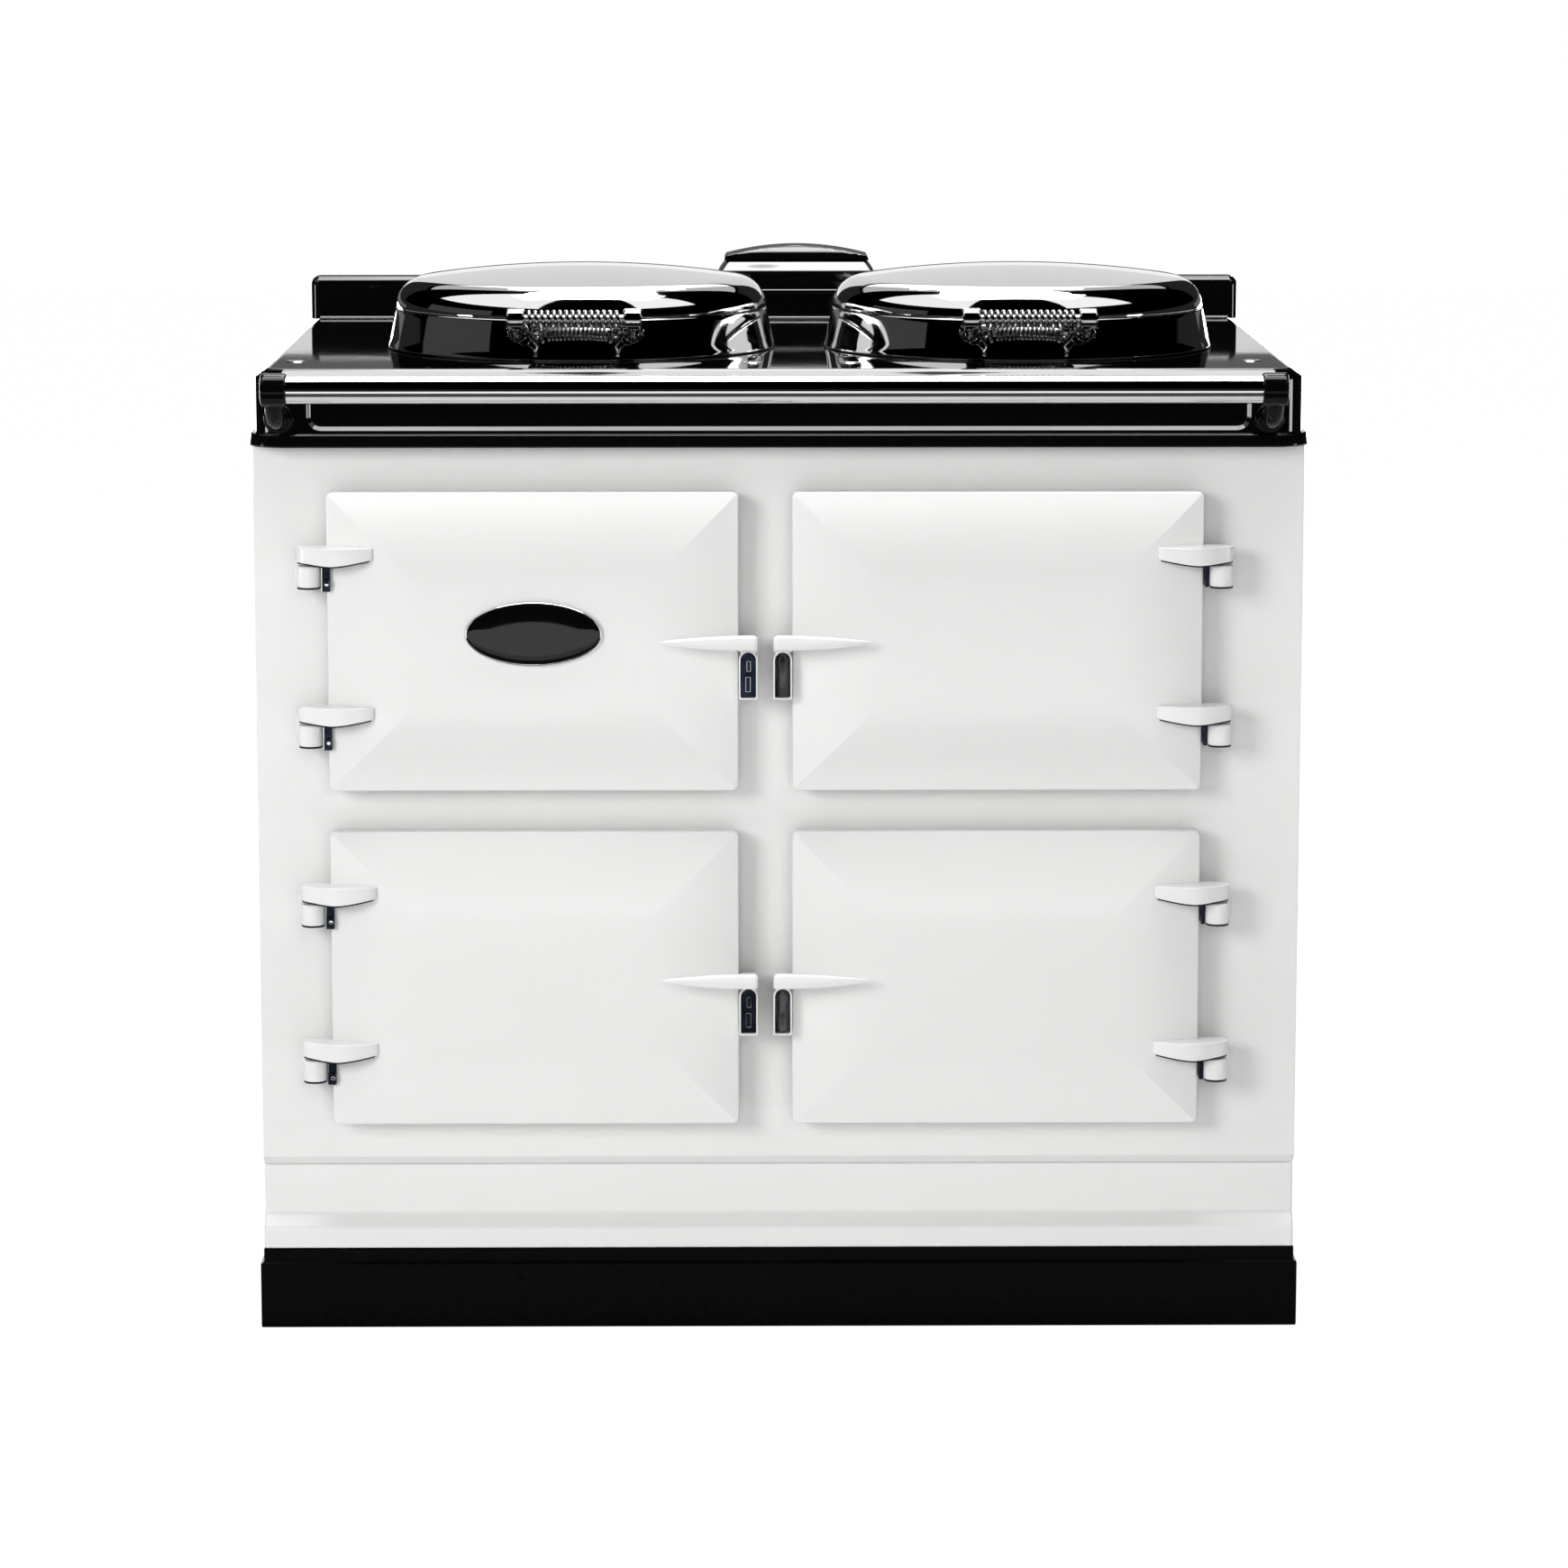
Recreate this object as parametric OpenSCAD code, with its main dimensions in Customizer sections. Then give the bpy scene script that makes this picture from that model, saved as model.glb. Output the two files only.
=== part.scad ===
// Cast iron range cooker with four doors, two domed lids, a hand rail and a rear flue chamber.
// Millimetres. X runs right, Y runs back and Z runs up, with the origin on the floor in the middle of the plan.
// Depths (names ending in _d) are measured backward from the front panel's face, so a negative one is in front.

/* [Body] */
// Width over the plinth and over the top plate's bottom flange
overall_w = 987; // [900:1:1100]
// Width over the front panel
panel_w = 979; // [890:1:1090]
// Depth from the front panel's face to the rear of the top plate's flange
body_depth = 678; // [640:1:760]
// Height of the hob surface above the floor
hob_h = 916; // [905:1:960]
// Thickness of the sheet side and back panels
sheet_t = 4; // [2:0.5:8]
// How far the side panels' outer faces lie inside the front panel's edges
side_inset = 1.5; // [0.5:0.5:6]

/* [Plinth] */
// Height of the plinth
plinth_h = 77; // [60:1:110]
// Thickness of the plinth's walls
plinth_wall = 30; // [20:1:60]
// Height of the narrower rim along the plinth's top
plinth_rim_h = 14; // [4:1:30]
// How far the rim steps in
plinth_rim_inset = 3; // [1:0.5:8]
// How far the plinth's front stands before the front panel's face
plinth_front = 4; // [0:0.5:20]
// Radius of a levelling foot's disc
foot_r = 25; // [15:1:40]
// Thickness of a levelling foot's disc
foot_t = 10; // [5:1:20]
// Radius of a levelling foot's screw
foot_screw_r = 8; // [5:0.5:12]
// Thickness of the base plate
base_plate_t = 6; // [3:0.5:12]

/* [Front] */
// Thickness of the cast front panel
front_t = 10; // [8:0.5:16]
// Height of the front panel's lower edge above the floor
front_bottom = 157; // [140:1:180]
// Size of the bevel along the front panel's lower edge
front_bevel = 9; // [3:0.5:10]
// How far the lower panel's face lies behind the front panel's face
lower_set_back = 10; // [4:0.5:14]
// Thickness of the lower panel
lower_t = 12; // [6:0.5:20]
// Height of the lower panel's proud foot
lower_foot_h = 20; // [10:0.5:40]
// Height of the flare above that foot
lower_flare_h = 12; // [6:0.5:24]
// How far the foot stands before the lower panel's face
lower_flare = 12; // [4:0.5:16]

/* [Top plate] */
// Height of the top plate from its flange's underside to the hob surface
top_h = 72; // [60:1:90]
// Width of the top plate above its flange
top_w = 975; // [890:1:1080]
// Thickness of the hob slab
slab_t = 10; // [6:0.5:16]
// Thickness of the top plate's skirt
skirt_t = 8; // [5:0.5:12]
// How far the top plate's fascia stands before the front panel's face
fascia_front = 20; // [14:1:36]
// Height of the flange along the skirt's lower edge
flange_h = 12; // [6:1:20]
// How far the flange stands before and behind the skirt
flange_out = 6; // [2:0.5:12]
// Radius of the rounded edge round the hob
edge_r = 10; // [4:0.5:12]
// Radius of the top plate's corners in plan
top_corner_r = 30; // [14:1:60]
// Depth of the fascia recess
recess_depth = 4; // [1:0.5:6]
// Width of the corner block left at each end of the fascia recess
corner_block_w = 50; // [42:1:90]
// Height of the fascia recess
recess_h = 42; // [30:1:48]
// Radius of the fascia recess's corners
recess_corner_r = 14; // [4:1:20]
// Distance from the top plate's left side in to its corner plug
plug_left_in = 32.5; // [20:0.5:60]
// Distance from the top plate's right side in to its corner plug
plug_right_in = 40.5; // [20:0.5:60]
// Distance from the front panel's face back to the corner plugs
plug_corner_d = 74; // [50:1:100]
// Distance between the two plugs between the lids
plug_apart = 92; // [60:1:130]
// Distance from the front panel's face back to the plugs between the lids
plug_middle_d = 59; // [40:1:80]
// Radius of a plug on the hob
plug_r = 8.5; // [4:0.5:14]
// Height of a plug above the hob
plug_t = 1.2; // [0.6:0.1:3]

/* [Hand rail] */
// Radius of the hand rail's tube
rail_r = 13; // [8:0.5:16]
// Wall of the hand rail's tube
rail_wall = 2; // [1:0.5:4]
// Distance from the front panel's face forward to the rail's axis
rail_front = 70; // [60:1:90]
// Height of the rail's axis below the hob surface
rail_drop = 14; // [8:1:24]
// Left end of the rail in view
rail_left_x = -451; // [-460:1:-430]
// Right end of the rail in view
rail_right_x = 442; // [425:1:455]
// Length of a rail socket
socket_l = 24; // [16:1:30]
// Wall of a rail socket
socket_wall = 2.5; // [2:0.5:6]
// Radius of a rail bracket's stem
stem_r = 9; // [5:0.5:11]
// Height of a bracket's foot below the rail's axis
foot_drop = 31; // [26:1:32]
// Radius of a bracket's round foot
bracket_foot_r = 14; // [12:0.5:15]
// Thickness of a bracket's round foot
bracket_foot_t = 6; // [3:0.5:10]

/* [Doors] */
// Width of a door
door_w = 382; // [370:1:400]
// Height of a door
door_h = 280; // [274:1:300]
// Latch edge of the left doors
left_latch_x = -38; // [-60:1:-30]
// Latch edge of the right doors
right_latch_x = 12; // [6:1:40]
// Lower edge of the upper doors above the floor
upper_door_z = 523; // [512:1:540]
// Lower edge of the lower doors above the floor
lower_door_z = 204.5; // [200:0.5:222]
// Distance from the front panel's face forward to a door's crown
crown_front = 44; // [40:1:52]
// How much the cushion falls from its crown to its edge
cushion_sag = 14; // [6:0.5:18]
// Width of the band over which the cushion falls
cushion_roll = 85; // [50:1:110]
// Radius of a door's corners in front view
door_corner_r = 6; // [3:0.5:16]
// Gap between a door's back and the front panel
door_gap = 5; // [4:0.5:8]
// Depth of the stepped back of a door
door_step = 7; // [3:0.5:10]
// How far the stepped back lies inside the door's edge
door_step_inset = 3; // [1:0.5:6]
// Distance from a door's side edge in to its oven opening
oven_side_in = 16.5; // [13:0.5:26]
// Distance from a door's upper or lower edge in to its oven opening
oven_end_in = 13.5; // [9:0.5:22]
// Radius of an oven opening's corners
oven_corner_r = 16; // [8:1:24]
// Gap between a door's plug and the oven opening all round
plug_gap = 6; // [4:0.5:12]
// How far a door's plug reaches behind the front panel's face
plug_reach = 10; // [4:0.5:14]
// Thickness of a door liner's sheet
liner_t = 3; // [1.5:0.5:5]
// Depth of the pocket behind a door's face
pocket_depth = 21; // [14:0.5:22]
// Width of a door seal
seal_w = 7; // [4:0.5:8]

/* [Door hinges] */
// Distance from a door's edge outward to its hinge axis
hinge_out = 16.5; // [14:0.5:22]
// Distance from the front panel's face forward to the hinge axis
hinge_front = 33; // [31:0.5:38]
// Radius of a hinge knuckle
knuckle_r = 11.5; // [9:0.5:13]
// Height of a door's hinge lug
lug_h = 17; // [14:1:26]
// Reach of a hinge lug over the door
lug_reach = 44; // [30:1:60]
// How far a hinge lug stands before the door's crown
lug_proud = 11; // [6:0.5:14]
// Height of a fixed hinge block
block_h = 21; // [14:1:28]
// Height of the lower hinge's joint face above the door's lower edge
lower_hinge_z = 64; // [50:1:90]
// Height of the upper hinge's joint face above the door's lower edge
upper_hinge_z = 213; // [190:1:230]
// Width of a hinge block's flange on the front panel
block_flange_w = 32; // [26:1:36]
// Thickness of a hinge block's flange
block_flange_t = 6; // [3:0.5:9]
// Radius of the hinge bores
hinge_bore_r = 4; // [3:0.5:5.5]

/* [Door handles] */
// Length of a handle's blade
blade_l = 93; // [70:1:110]
// Height of a handle's blade
blade_h = 14; // [8:0.5:18]
// Height of the blade's middle above the door's lower edge
blade_z = 144; // [132:1:156]
// Thickness of a handle's blade at its root
blade_t = 11; // [7:0.5:13]
// Gap between the door's crown and the back of the blade
finger_gap = 16; // [12:1:24]
// Width of the latch housing beside the door
housing_w = 18; // [15:0.5:21]
// Height of the latch housing
housing_h = 46; // [40:1:54]
// Height of the root between the latch housing and the blade
root_drop = 3; // [2:0.5:6]
// Wall of the latch housing round its window
housing_wall = 1.6; // [1:0.1:3]
// Gap between the latch housing's back and the front panel
housing_gap = 16; // [13:0.5:20]
// Depth of the latch housing from front to back
housing_t = 30; // [24:1:33]
// Depth of the window in the latch housing
window_depth = 20; // [12:1:23]
// Thickness of the latch inside the window
latch_t = 12; // [8:1:16]
// Radius of a striker on the front panel
striker_r = 5; // [3:0.5:6]

/* [Badge] */
// Width of the oval badge
badge_w = 128; // [90:1:160]
// Height of the oval badge
badge_h = 61; // [40:1:90]
// Thickness of the badge's rim
badge_t = 4.5; // [2:0.5:8]
// Width of the badge's raised rim
badge_rim_w = 3; // [1.5:0.5:6]
// Depth of the badge's face below its rim
badge_recess = 1; // [0.5:0.1:1.5]
// Centre of the badge across the door, from the hinge edge
badge_x = 192; // [170:1:210]
// Centre of the badge above the door's lower edge
badge_z = 150; // [130:1:160]

/* [Lids] */
// Radius of a lid at its foot
lid_r = 189; // [185:1:192]
// Radius of a lid at the seam under its dome
seam_r = 180.5; // [174:0.5:182]
// Height of the seam above the hob
seam_h = 39; // [30:1:50]
// Rise of the dome above the seam
dome_rise = 41; // [30:1:60]
// Radius of the dome's shoulder
shoulder_r = 30; // [18:1:36]
// Thickness of the lid's metal
lid_t = 2.5; // [1.5:0.5:4]
// Left lid's centre
left_lid_x = -191; // [-205:1:-185]
// Right lid's centre
right_lid_x = 234.6; // [205:0.2:250]
// Distance from the front panel's face back to the lids' centres
lid_d = 255; // [235:1:265]
// Radius of a hotplate
hotplate_r = 183; // [160:1:184]
// Thickness of a hotplate
hotplate_t = 45; // [25:1:55]
// How far the hotplate's face lies below the hob surface
hotplate_low = 1; // [0.5:0.5:3]
// Height of the lid's hinge axis above the hob
lid_axis_h = 32; // [26:1:36]
// Distance from the lid's centre back to its hinge axis
lid_axis_back = 230; // [222:1:240]
// Radius of a lid's hinge knuckle
lid_knuckle_r = 8; // [6:0.5:10]
// Length of a lid's hinge knuckle
lid_knuckle_l = 60; // [40:1:90]
// Thickness of an ear of the lid's hinge bracket
ear_t = 8; // [5:0.5:12]

/* [Lid handles] */
// Length of the coil grip between its brackets
grip_l = 92; // [80:1:110]
// Radius of the coil's wire
wire_r = 1.9; // [1.2:0.1:2.2]
// Radius of the coil from its axis to the wire's middle
coil_r = 6.6; // [6:0.1:8]
// Number of turns in the coil
coil_turns = 15; // [8:1:18]
// Radius of the rod inside the coil
rod_r = 4; // [3:0.5:4]
// Height of the grip's axis above the hob
grip_h = 43; // [38:1:50]
// Distance from the lid's centre forward to the grip's axis
grip_front = 225; // [218:1:236]
// Radius of a grip bracket's end
grip_end_r = 10; // [9:0.5:13]
// Length of a grip bracket's end
grip_end_l = 17.5; // [12:0.5:22]
// Radius of a grip bracket's stem
grip_stem_r = 6; // [4:0.5:8]
// Height of a grip bracket's foot below the grip's axis
grip_drop = 15; // [12:1:18]

/* [Rear] */
// Width of the rear upstand
upstand_w = 968; // [880:1:975]
// Height of the rear upstand above the hob
upstand_h = 44; // [30:1:60]
// Distance from the front panel's face back to the upstand
upstand_d = 604; // [595:1:620]
// Thickness of the upstand
upstand_t = 34; // [20:1:44]
// Radius of the upstand's top edge and ends
upstand_r = 9; // [4:0.5:10]
// Middle of the flue chamber
flue_x = 23; // [10:1:40]
// Distance from the front panel's face back to the flue chamber
flue_d = 590; // [580:1:600]
// Depth of the flue chamber
flue_depth = 74; // [60:1:78]
// Height of the flue chamber above the hob, without its cap
flue_h = 61; // [50:1:80]
// Width of the flue chamber at its top
flue_top_w = 145; // [120:1:170]
// Width of the flue chamber under its sloped shoulder
flue_shoulder_w = 161; // [146:1:180]
// Width of the flue chamber at the hob
flue_foot_w = 196; // [182:1:230]
// Height of the sloped shoulder
flue_shoulder_h = 11; // [5:1:16]
// Thickness of the flue chamber's walls
flue_wall = 6; // [3:0.5:10]
// Height of the rib round the flue chamber above the hob
flue_rib_h = 26; // [18:1:32]
// Thickness and projection of the flue chamber's rib
flue_rib_t = 6; // [3:0.5:8]
// Thickness of the flue cap at its ends
cap_edge_t = 4; // [2:0.5:8]
// Rise of the flue cap's arch
cap_rise = 10; // [5:1:16]
// Overhang of the flue cap
cap_overhang = 2.5; // [1:0.5:6]

/* [Ovens] */
// Depth of an oven's cavity
oven_depth = 483; // [400:1:500]
// Thickness of an oven's walls
oven_wall = 6; // [4:0.5:10]
// Depth of the control housing's cavity
control_depth = 120; // [80:1:160]
// Height of a shelf above an oven's floor
shelf_z = 110; // [60:1:160]
// Radius of a shelf's frame rod
frame_rod_r = 4; // [2.5:0.5:5]
// Radius of a shelf's bars
bar_r = 2.5; // [1.5:0.5:3.5]
// Number of bars in a shelf
bar_count = 13; // [7:1:19]
// Depth of a shelf
shelf_depth = 430; // [330:1:450]
// Height of a shelf runner
runner_h = 5; // [3:0.5:8]
// Radius of a heating element's tube
element_r = 4; // [3:0.5:6]
// Distance between the legs of a heating element
element_w = 220; // [120:1:280]
// Height of a heating element above an oven's floor
element_z = 16; // [10:1:40]
// Thickness of the slab of insulation behind the ovens
rear_slab_t = 60; // [30:1:100]

/* [Control knob and gland] */
// Radius of the thermostat knob
knob_r = 22; // [14:1:32]
// Length of the thermostat knob
knob_l = 22; // [14:1:30]
// Radius of the knob's spindle
spindle_r = 3; // [2:0.5:5]
// Number of marks round the knob
mark_count = 11; // [7:1:15]
// Across the middle to the gland, in plan
gland_x = 300; // [200:1:400]
// Height of the gland above the floor
gland_z = 200; // [150:1:400]
// Radius of the gland's cable bore
gland_bore_r = 6; // [4:0.5:8]
// Wall of the gland's body
gland_wall = 4; // [3:0.5:6]

/* [Fits] */
// Running clearance of a hinge pin or a spindle in its bore, on the radius
pin_clear = 0.05; // [0.02:0.01:0.1]
// Gap between the faces of pieces that move past each other
move_gap = 0.3; // [0.2:0.05:0.5]
// Gap round a piece that drops into a hole or a pocket
drop_fit = 0.3; // [0.1:0.05:0.4]

/* [Hidden] */
$fn = 64;
FIXED = [
    "plinth", "levelling_feet", "base_plate", "lower_front_panel", "front_panel", "side_panels", "back_panel",
    "top_plate", "top_plate_plugs", "rear_upstand", "flue_chamber", "flue_cap", "hand_rail", "rail_brackets",
    "hotplates", "roasting_oven", "simmering_oven", "baking_oven", "oven_shelves", "heating_elements",
    "control_housing", "thermostat_knob", "insulation_slabs", "hinge_blocks", "hinge_pins", "strikers",
    "door_seals", "lid_hinge_brackets", "cable_gland", "door_badge"
];
DOORS = ["door_top_left", "door_top_right", "door_bottom_left", "door_bottom_right"];
LIDS = ["lid_left", "lid_right"];
function names(owners, part) = [for (owner = owners) str(owner, "_", part)];
castings = names(DOORS, "casting");
liners = names(DOORS, "liner");
pads = names(DOORS, "insulation");
handles = names(DOORS, "handle");
latches = names(DOORS, "latch");
domes = names(LIDS, "dome");
bases = names(LIDS, "base");
lid_handles = names(LIDS, "handle");
grips = names(LIDS, "coil_grip");
lid_arms = names(LIDS, "hinge_arm");

// Colours
ENAMEL_WHITE = [0.93, 0.93, 0.92];
ENAMEL_BLACK = [0.05, 0.05, 0.055];
CHROME = [0.80, 0.81, 0.83];
IRON = [0.23, 0.23, 0.24];
STEEL = [0.60, 0.61, 0.63];
QUILT = [0.86, 0.84, 0.76];

// The front panel's face in the part's own frame: the rail sockets' front and the flange's rear are equally far out
face_y = (rail_front + rail_r + socket_wall - body_depth) / 2;

// Small sizes that follow from the others
over = 1;
pin_r = hinge_bore_r - pin_clear;
skirt_front_d = -fascia_front;
skirt_rear_d = body_depth - flange_out;
sheet_rear_d = skirt_rear_d - skirt_t - 1;
side_x = panel_w / 2 - side_inset;
top_underside = hob_h - top_h;
slab_underside = hob_h - slab_t;
tongue_x = top_w / 2 - top_corner_r;
plinth_rear_d = sheet_rear_d + plinth_front;
rail_z = hob_h - rail_drop;
rail_bore_r = rail_r + pin_clear;
socket_x = [rail_left_x - socket_l / 2, rail_right_x + socket_l / 2];
socket_grip = socket_l * 0.6;
stem_straight_d = -rail_front + foot_drop;
edge_front = crown_front - cushion_sag;
oven_w = door_w - 2 * oven_side_in;
oven_h = door_h - 2 * oven_end_in;
pocket_w = oven_w;
pocket_h = oven_h - 4;
pocket_front = door_gap + pocket_depth;
oven_back_d = front_t + oven_depth;
blade_front = crown_front + finger_gap + blade_t;
blade_x = door_w + housing_w - blade_l;
housing_z = blade_z - blade_h / 2 - root_drop - housing_h;
housing_front = housing_gap + housing_t;
lid_x = [left_lid_x, right_lid_x];
lid_axis_d = lid_d + lid_axis_back;
lid_axis_z = hob_h + lid_axis_h;
grip_z = hob_h + grip_h;
grip_d = lid_d - grip_front;
runner_w = 12;
knob_d = front_t + control_depth;

function is_right(i) = i % 2 == 1;
function is_upper(i) = i < 2;
function door_z(i) = is_upper(i) ? upper_door_z : lower_door_z;
function edge_x(i) = is_right(i) ? right_latch_x + door_w : left_latch_x - door_w;
function inward(i) = is_right(i) ? -1 : 1;
function opening_x(i) = edge_x(i) + inward(i) * door_w / 2;
function opening_z(i) = door_z(i) + door_h / 2;

// ---- Placing ----

// Children drawn with y = 0 on the front panel's face
module from_face() {
    translate([0, face_y, 0])
        children();
}

// Children drawn from a door's hinge edge and lower edge, with x running across the door
module at_door(i) {
    translate([edge_x(i), face_y, door_z(i)])
        if (is_right(i))
            mirror([1, 0, 0])
                children();
        else
            children();
}

// Children drawn round the middle of the opening behind a door
module at_opening(i) {
    translate([opening_x(i), face_y, opening_z(i)])
        children();
}

// Children drawn round a lid's centre on the hob surface
module at_lid(i) {
    translate([lid_x[i], face_y + lid_d, hob_h])
        children();
}

// A flat outline of depth and height, drawn out along X about the middle
module along_x(length) {
    rotate([90, 0, 90])
        linear_extrude(length, center = true)
            children();
}

// A flat outline of width and height, drawn out backward from one depth to another
module along_y(from, to) {
    translate([0, to, 0])
        rotate([90, 0, 0])
            linear_extrude(to - from)
                children();
}

// A bar along X about the middle
module rod_x(r, length) {
    rotate([0, 90, 0])
        cylinder(r = r, h = length, center = true);
}

// A bar that runs backward from y = 0
module rod_y(r, length) {
    rotate([-90, 0, 0])
        cylinder(r = r, h = length);
}

// A box from one depth to another, centred across X and standing on z = 0
module block(w, from, to, h) {
    translate([-w / 2, from, 0])
        cube([w, to - from, h]);
}

module rounded_rect(w, h, r) {
    square([w - 2 * r, h], center = true);
    square([w, h - 2 * r], center = true);
    for (sx = [-1, 1], sy = [-1, 1])
        translate([sx * (w / 2 - r), sy * (h / 2 - r)])
            circle(r);
}

// ---- Plinth and base ----

module plinth() {
    color(ENAMEL_BLACK)
        from_face()
            difference() {
                union() {
                    block(overall_w, -plinth_front, plinth_rear_d, plinth_h - plinth_rim_h);
                    block(overall_w - 2 * plinth_rim_inset, plinth_rim_inset - plinth_front,
                        plinth_rear_d - plinth_rim_inset, plinth_h);
                }
                translate([0, 0, -over])
                    block(overall_w - 2 * plinth_wall, plinth_wall - plinth_front,
                        plinth_rear_d - plinth_wall, plinth_h + 2 * over);
            }
}

// Four screwed feet under the base plate
module levelling_feet() {
    foot_in = plinth_wall + 2 * foot_r;
    color(STEEL)
        from_face()
            for (sx = [-1, 1], d = [foot_in, plinth_rear_d - foot_in])
                translate([sx * (overall_w / 2 - foot_in), d, 0]) {
                    cylinder(r = foot_r, h = foot_t);
                    cylinder(r = foot_screw_r, h = plinth_h);
                }
}

module base_plate() {
    color(STEEL)
        from_face()
            translate([0, 0, plinth_h])
                block(2 * (side_x - sheet_t), lower_set_back + lower_t, sheet_rear_d - sheet_t, base_plate_t);
}

// ---- Front, side and back panels ----

module lower_front_panel() {
    back_d = lower_set_back + lower_t;
    foot_top = plinth_h + lower_foot_h;
    color(ENAMEL_WHITE)
        from_face()
            along_x(panel_w)
                polygon([
                    [lower_set_back, front_bottom],
                    [lower_set_back, foot_top + lower_flare_h],
                    [lower_set_back - lower_flare, foot_top],
                    [lower_set_back - lower_flare, plinth_h],
                    [back_d, plinth_h],
                    [back_d, front_bottom]
                ]);
}

module front_panel() {
    color(ENAMEL_WHITE)
        difference() {
            from_face() {
                along_x(panel_w)
                    polygon([
                        [0, top_underside],
                        [0, front_bottom + front_bevel],
                        [front_bevel, front_bottom],
                        [front_t, front_bottom],
                        [front_t, top_underside]
                    ]);
                translate([0, 0, top_underside - over])
                    block(2 * tongue_x, 0, front_t, slab_underside - top_underside + over);
            }
            for (i = [0 : 3])
                at_opening(i)
                    along_y(-over, front_t + over)
                        rounded_rect(oven_w, oven_h, oven_corner_r);
        }
}

module side_panels() {
    color(ENAMEL_WHITE)
        from_face()
            for (sx = [-1, 1])
                translate([sx * (side_x - sheet_t / 2), 0, 0])
                    along_x(sheet_t)
                        polygon([
                            [front_t, top_underside],
                            [front_t, front_bottom],
                            [lower_set_back + lower_t, front_bottom],
                            [lower_set_back + lower_t, plinth_h],
                            [sheet_rear_d, plinth_h],
                            [sheet_rear_d, top_underside]
                        ]);
}

module back_panel() {
    color(STEEL)
        from_face()
            difference() {
                union() {
                    translate([0, 0, plinth_h])
                        block(2 * (side_x - sheet_t), sheet_rear_d - sheet_t, sheet_rear_d,
                            top_underside - plinth_h);
                    translate([0, 0, top_underside - over])
                        block(2 * tongue_x, sheet_rear_d - sheet_t, sheet_rear_d,
                            slab_underside - top_underside + over);
                }
                translate([gland_x, sheet_rear_d - sheet_t - over, gland_z])
                    rod_y(gland_bore_r + gland_wall + pin_clear, sheet_t + 2 * over);
            }
}

// ---- Top plate ----

// A flat block with round corners in plan and a rounded upper edge
module bullnose_block(w, depth, h) {
    straight_w = w - 2 * top_corner_r;
    straight_depth = depth - 2 * top_corner_r;
    roll = top_corner_r - edge_r;
    linear_extrude(h - edge_r)
        rounded_rect(w, depth, top_corner_r);
    linear_extrude(h)
        rounded_rect(w - 2 * edge_r, depth - 2 * edge_r, roll);
    translate([0, 0, h - edge_r]) {
        for (s = [-1, 1]) {
            translate([0, s * (depth / 2 - edge_r), 0])
                rod_x(edge_r, straight_w);
            translate([s * (w / 2 - edge_r), -straight_depth / 2, 0])
                rod_y(edge_r, straight_depth);
        }
        for (sx = [-1, 1], sy = [-1, 1])
            translate([sx * straight_w / 2, sy * straight_depth / 2, 0])
                rotate_extrude()
                    translate([roll, 0])
                        intersection() {
                            circle(edge_r);
                            translate([0, -edge_r])
                                square([edge_r, 2 * edge_r]);
                        }
    }
}

module top_plate() {
    depth = skirt_rear_d - skirt_front_d;
    middle_d = (skirt_rear_d + skirt_front_d) / 2;
    recess_w = top_w - 2 * corner_block_w;
    recess_z = top_underside + flange_h + recess_h / 2;
    color(ENAMEL_BLACK)
        difference() {
            from_face()
                translate([0, middle_d, top_underside]) {
                    bullnose_block(top_w, depth, top_h);
                    linear_extrude(flange_h)
                        rounded_rect(overall_w, depth + 2 * flange_out, top_corner_r + flange_out);
                }
            from_face() {
                translate([0, middle_d, top_underside - over])
                    linear_extrude(top_h - slab_t + over)
                        rounded_rect(top_w - 2 * skirt_t, depth - 2 * skirt_t, top_corner_r - skirt_t);
                translate([0, 0, recess_z])
                    along_y(skirt_front_d - over, skirt_front_d + recess_depth)
                        rounded_rect(recess_w, recess_h, recess_corner_r);
            }
            for (i = [0, 1])
                at_lid(i)
                    translate([0, 0, -slab_t - over])
                        cylinder(r = hotplate_r + drop_fit, h = slab_t + 2 * over, $fn = 96);
        }
}

// Round plugs on the hob, two by the front corners and two between the lids
module top_plate_plugs() {
    middle_x = (left_lid_x + right_lid_x) / 2;
    color(STEEL)
        from_face()
            for (place = [
                [plug_left_in - top_w / 2, plug_corner_d],
                [top_w / 2 - plug_right_in, plug_corner_d],
                [middle_x - plug_apart / 2, plug_middle_d],
                [middle_x + plug_apart / 2, plug_middle_d]
            ])
                translate([place[0], place[1], hob_h])
                    cylinder(r = plug_r, h = plug_t);
}

// ---- Rear upstand and flue ----

module flue_outline(grow) {
    shoulder_z = flue_h - flue_shoulder_h;
    polygon([
        [-flue_foot_w / 2 - grow, 0],
        [-flue_shoulder_w / 2 - grow, shoulder_z],
        [-flue_top_w / 2 - grow, flue_h],
        [flue_top_w / 2 + grow, flue_h],
        [flue_shoulder_w / 2 + grow, shoulder_z],
        [flue_foot_w / 2 + grow, 0]
    ]);
}

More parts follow.
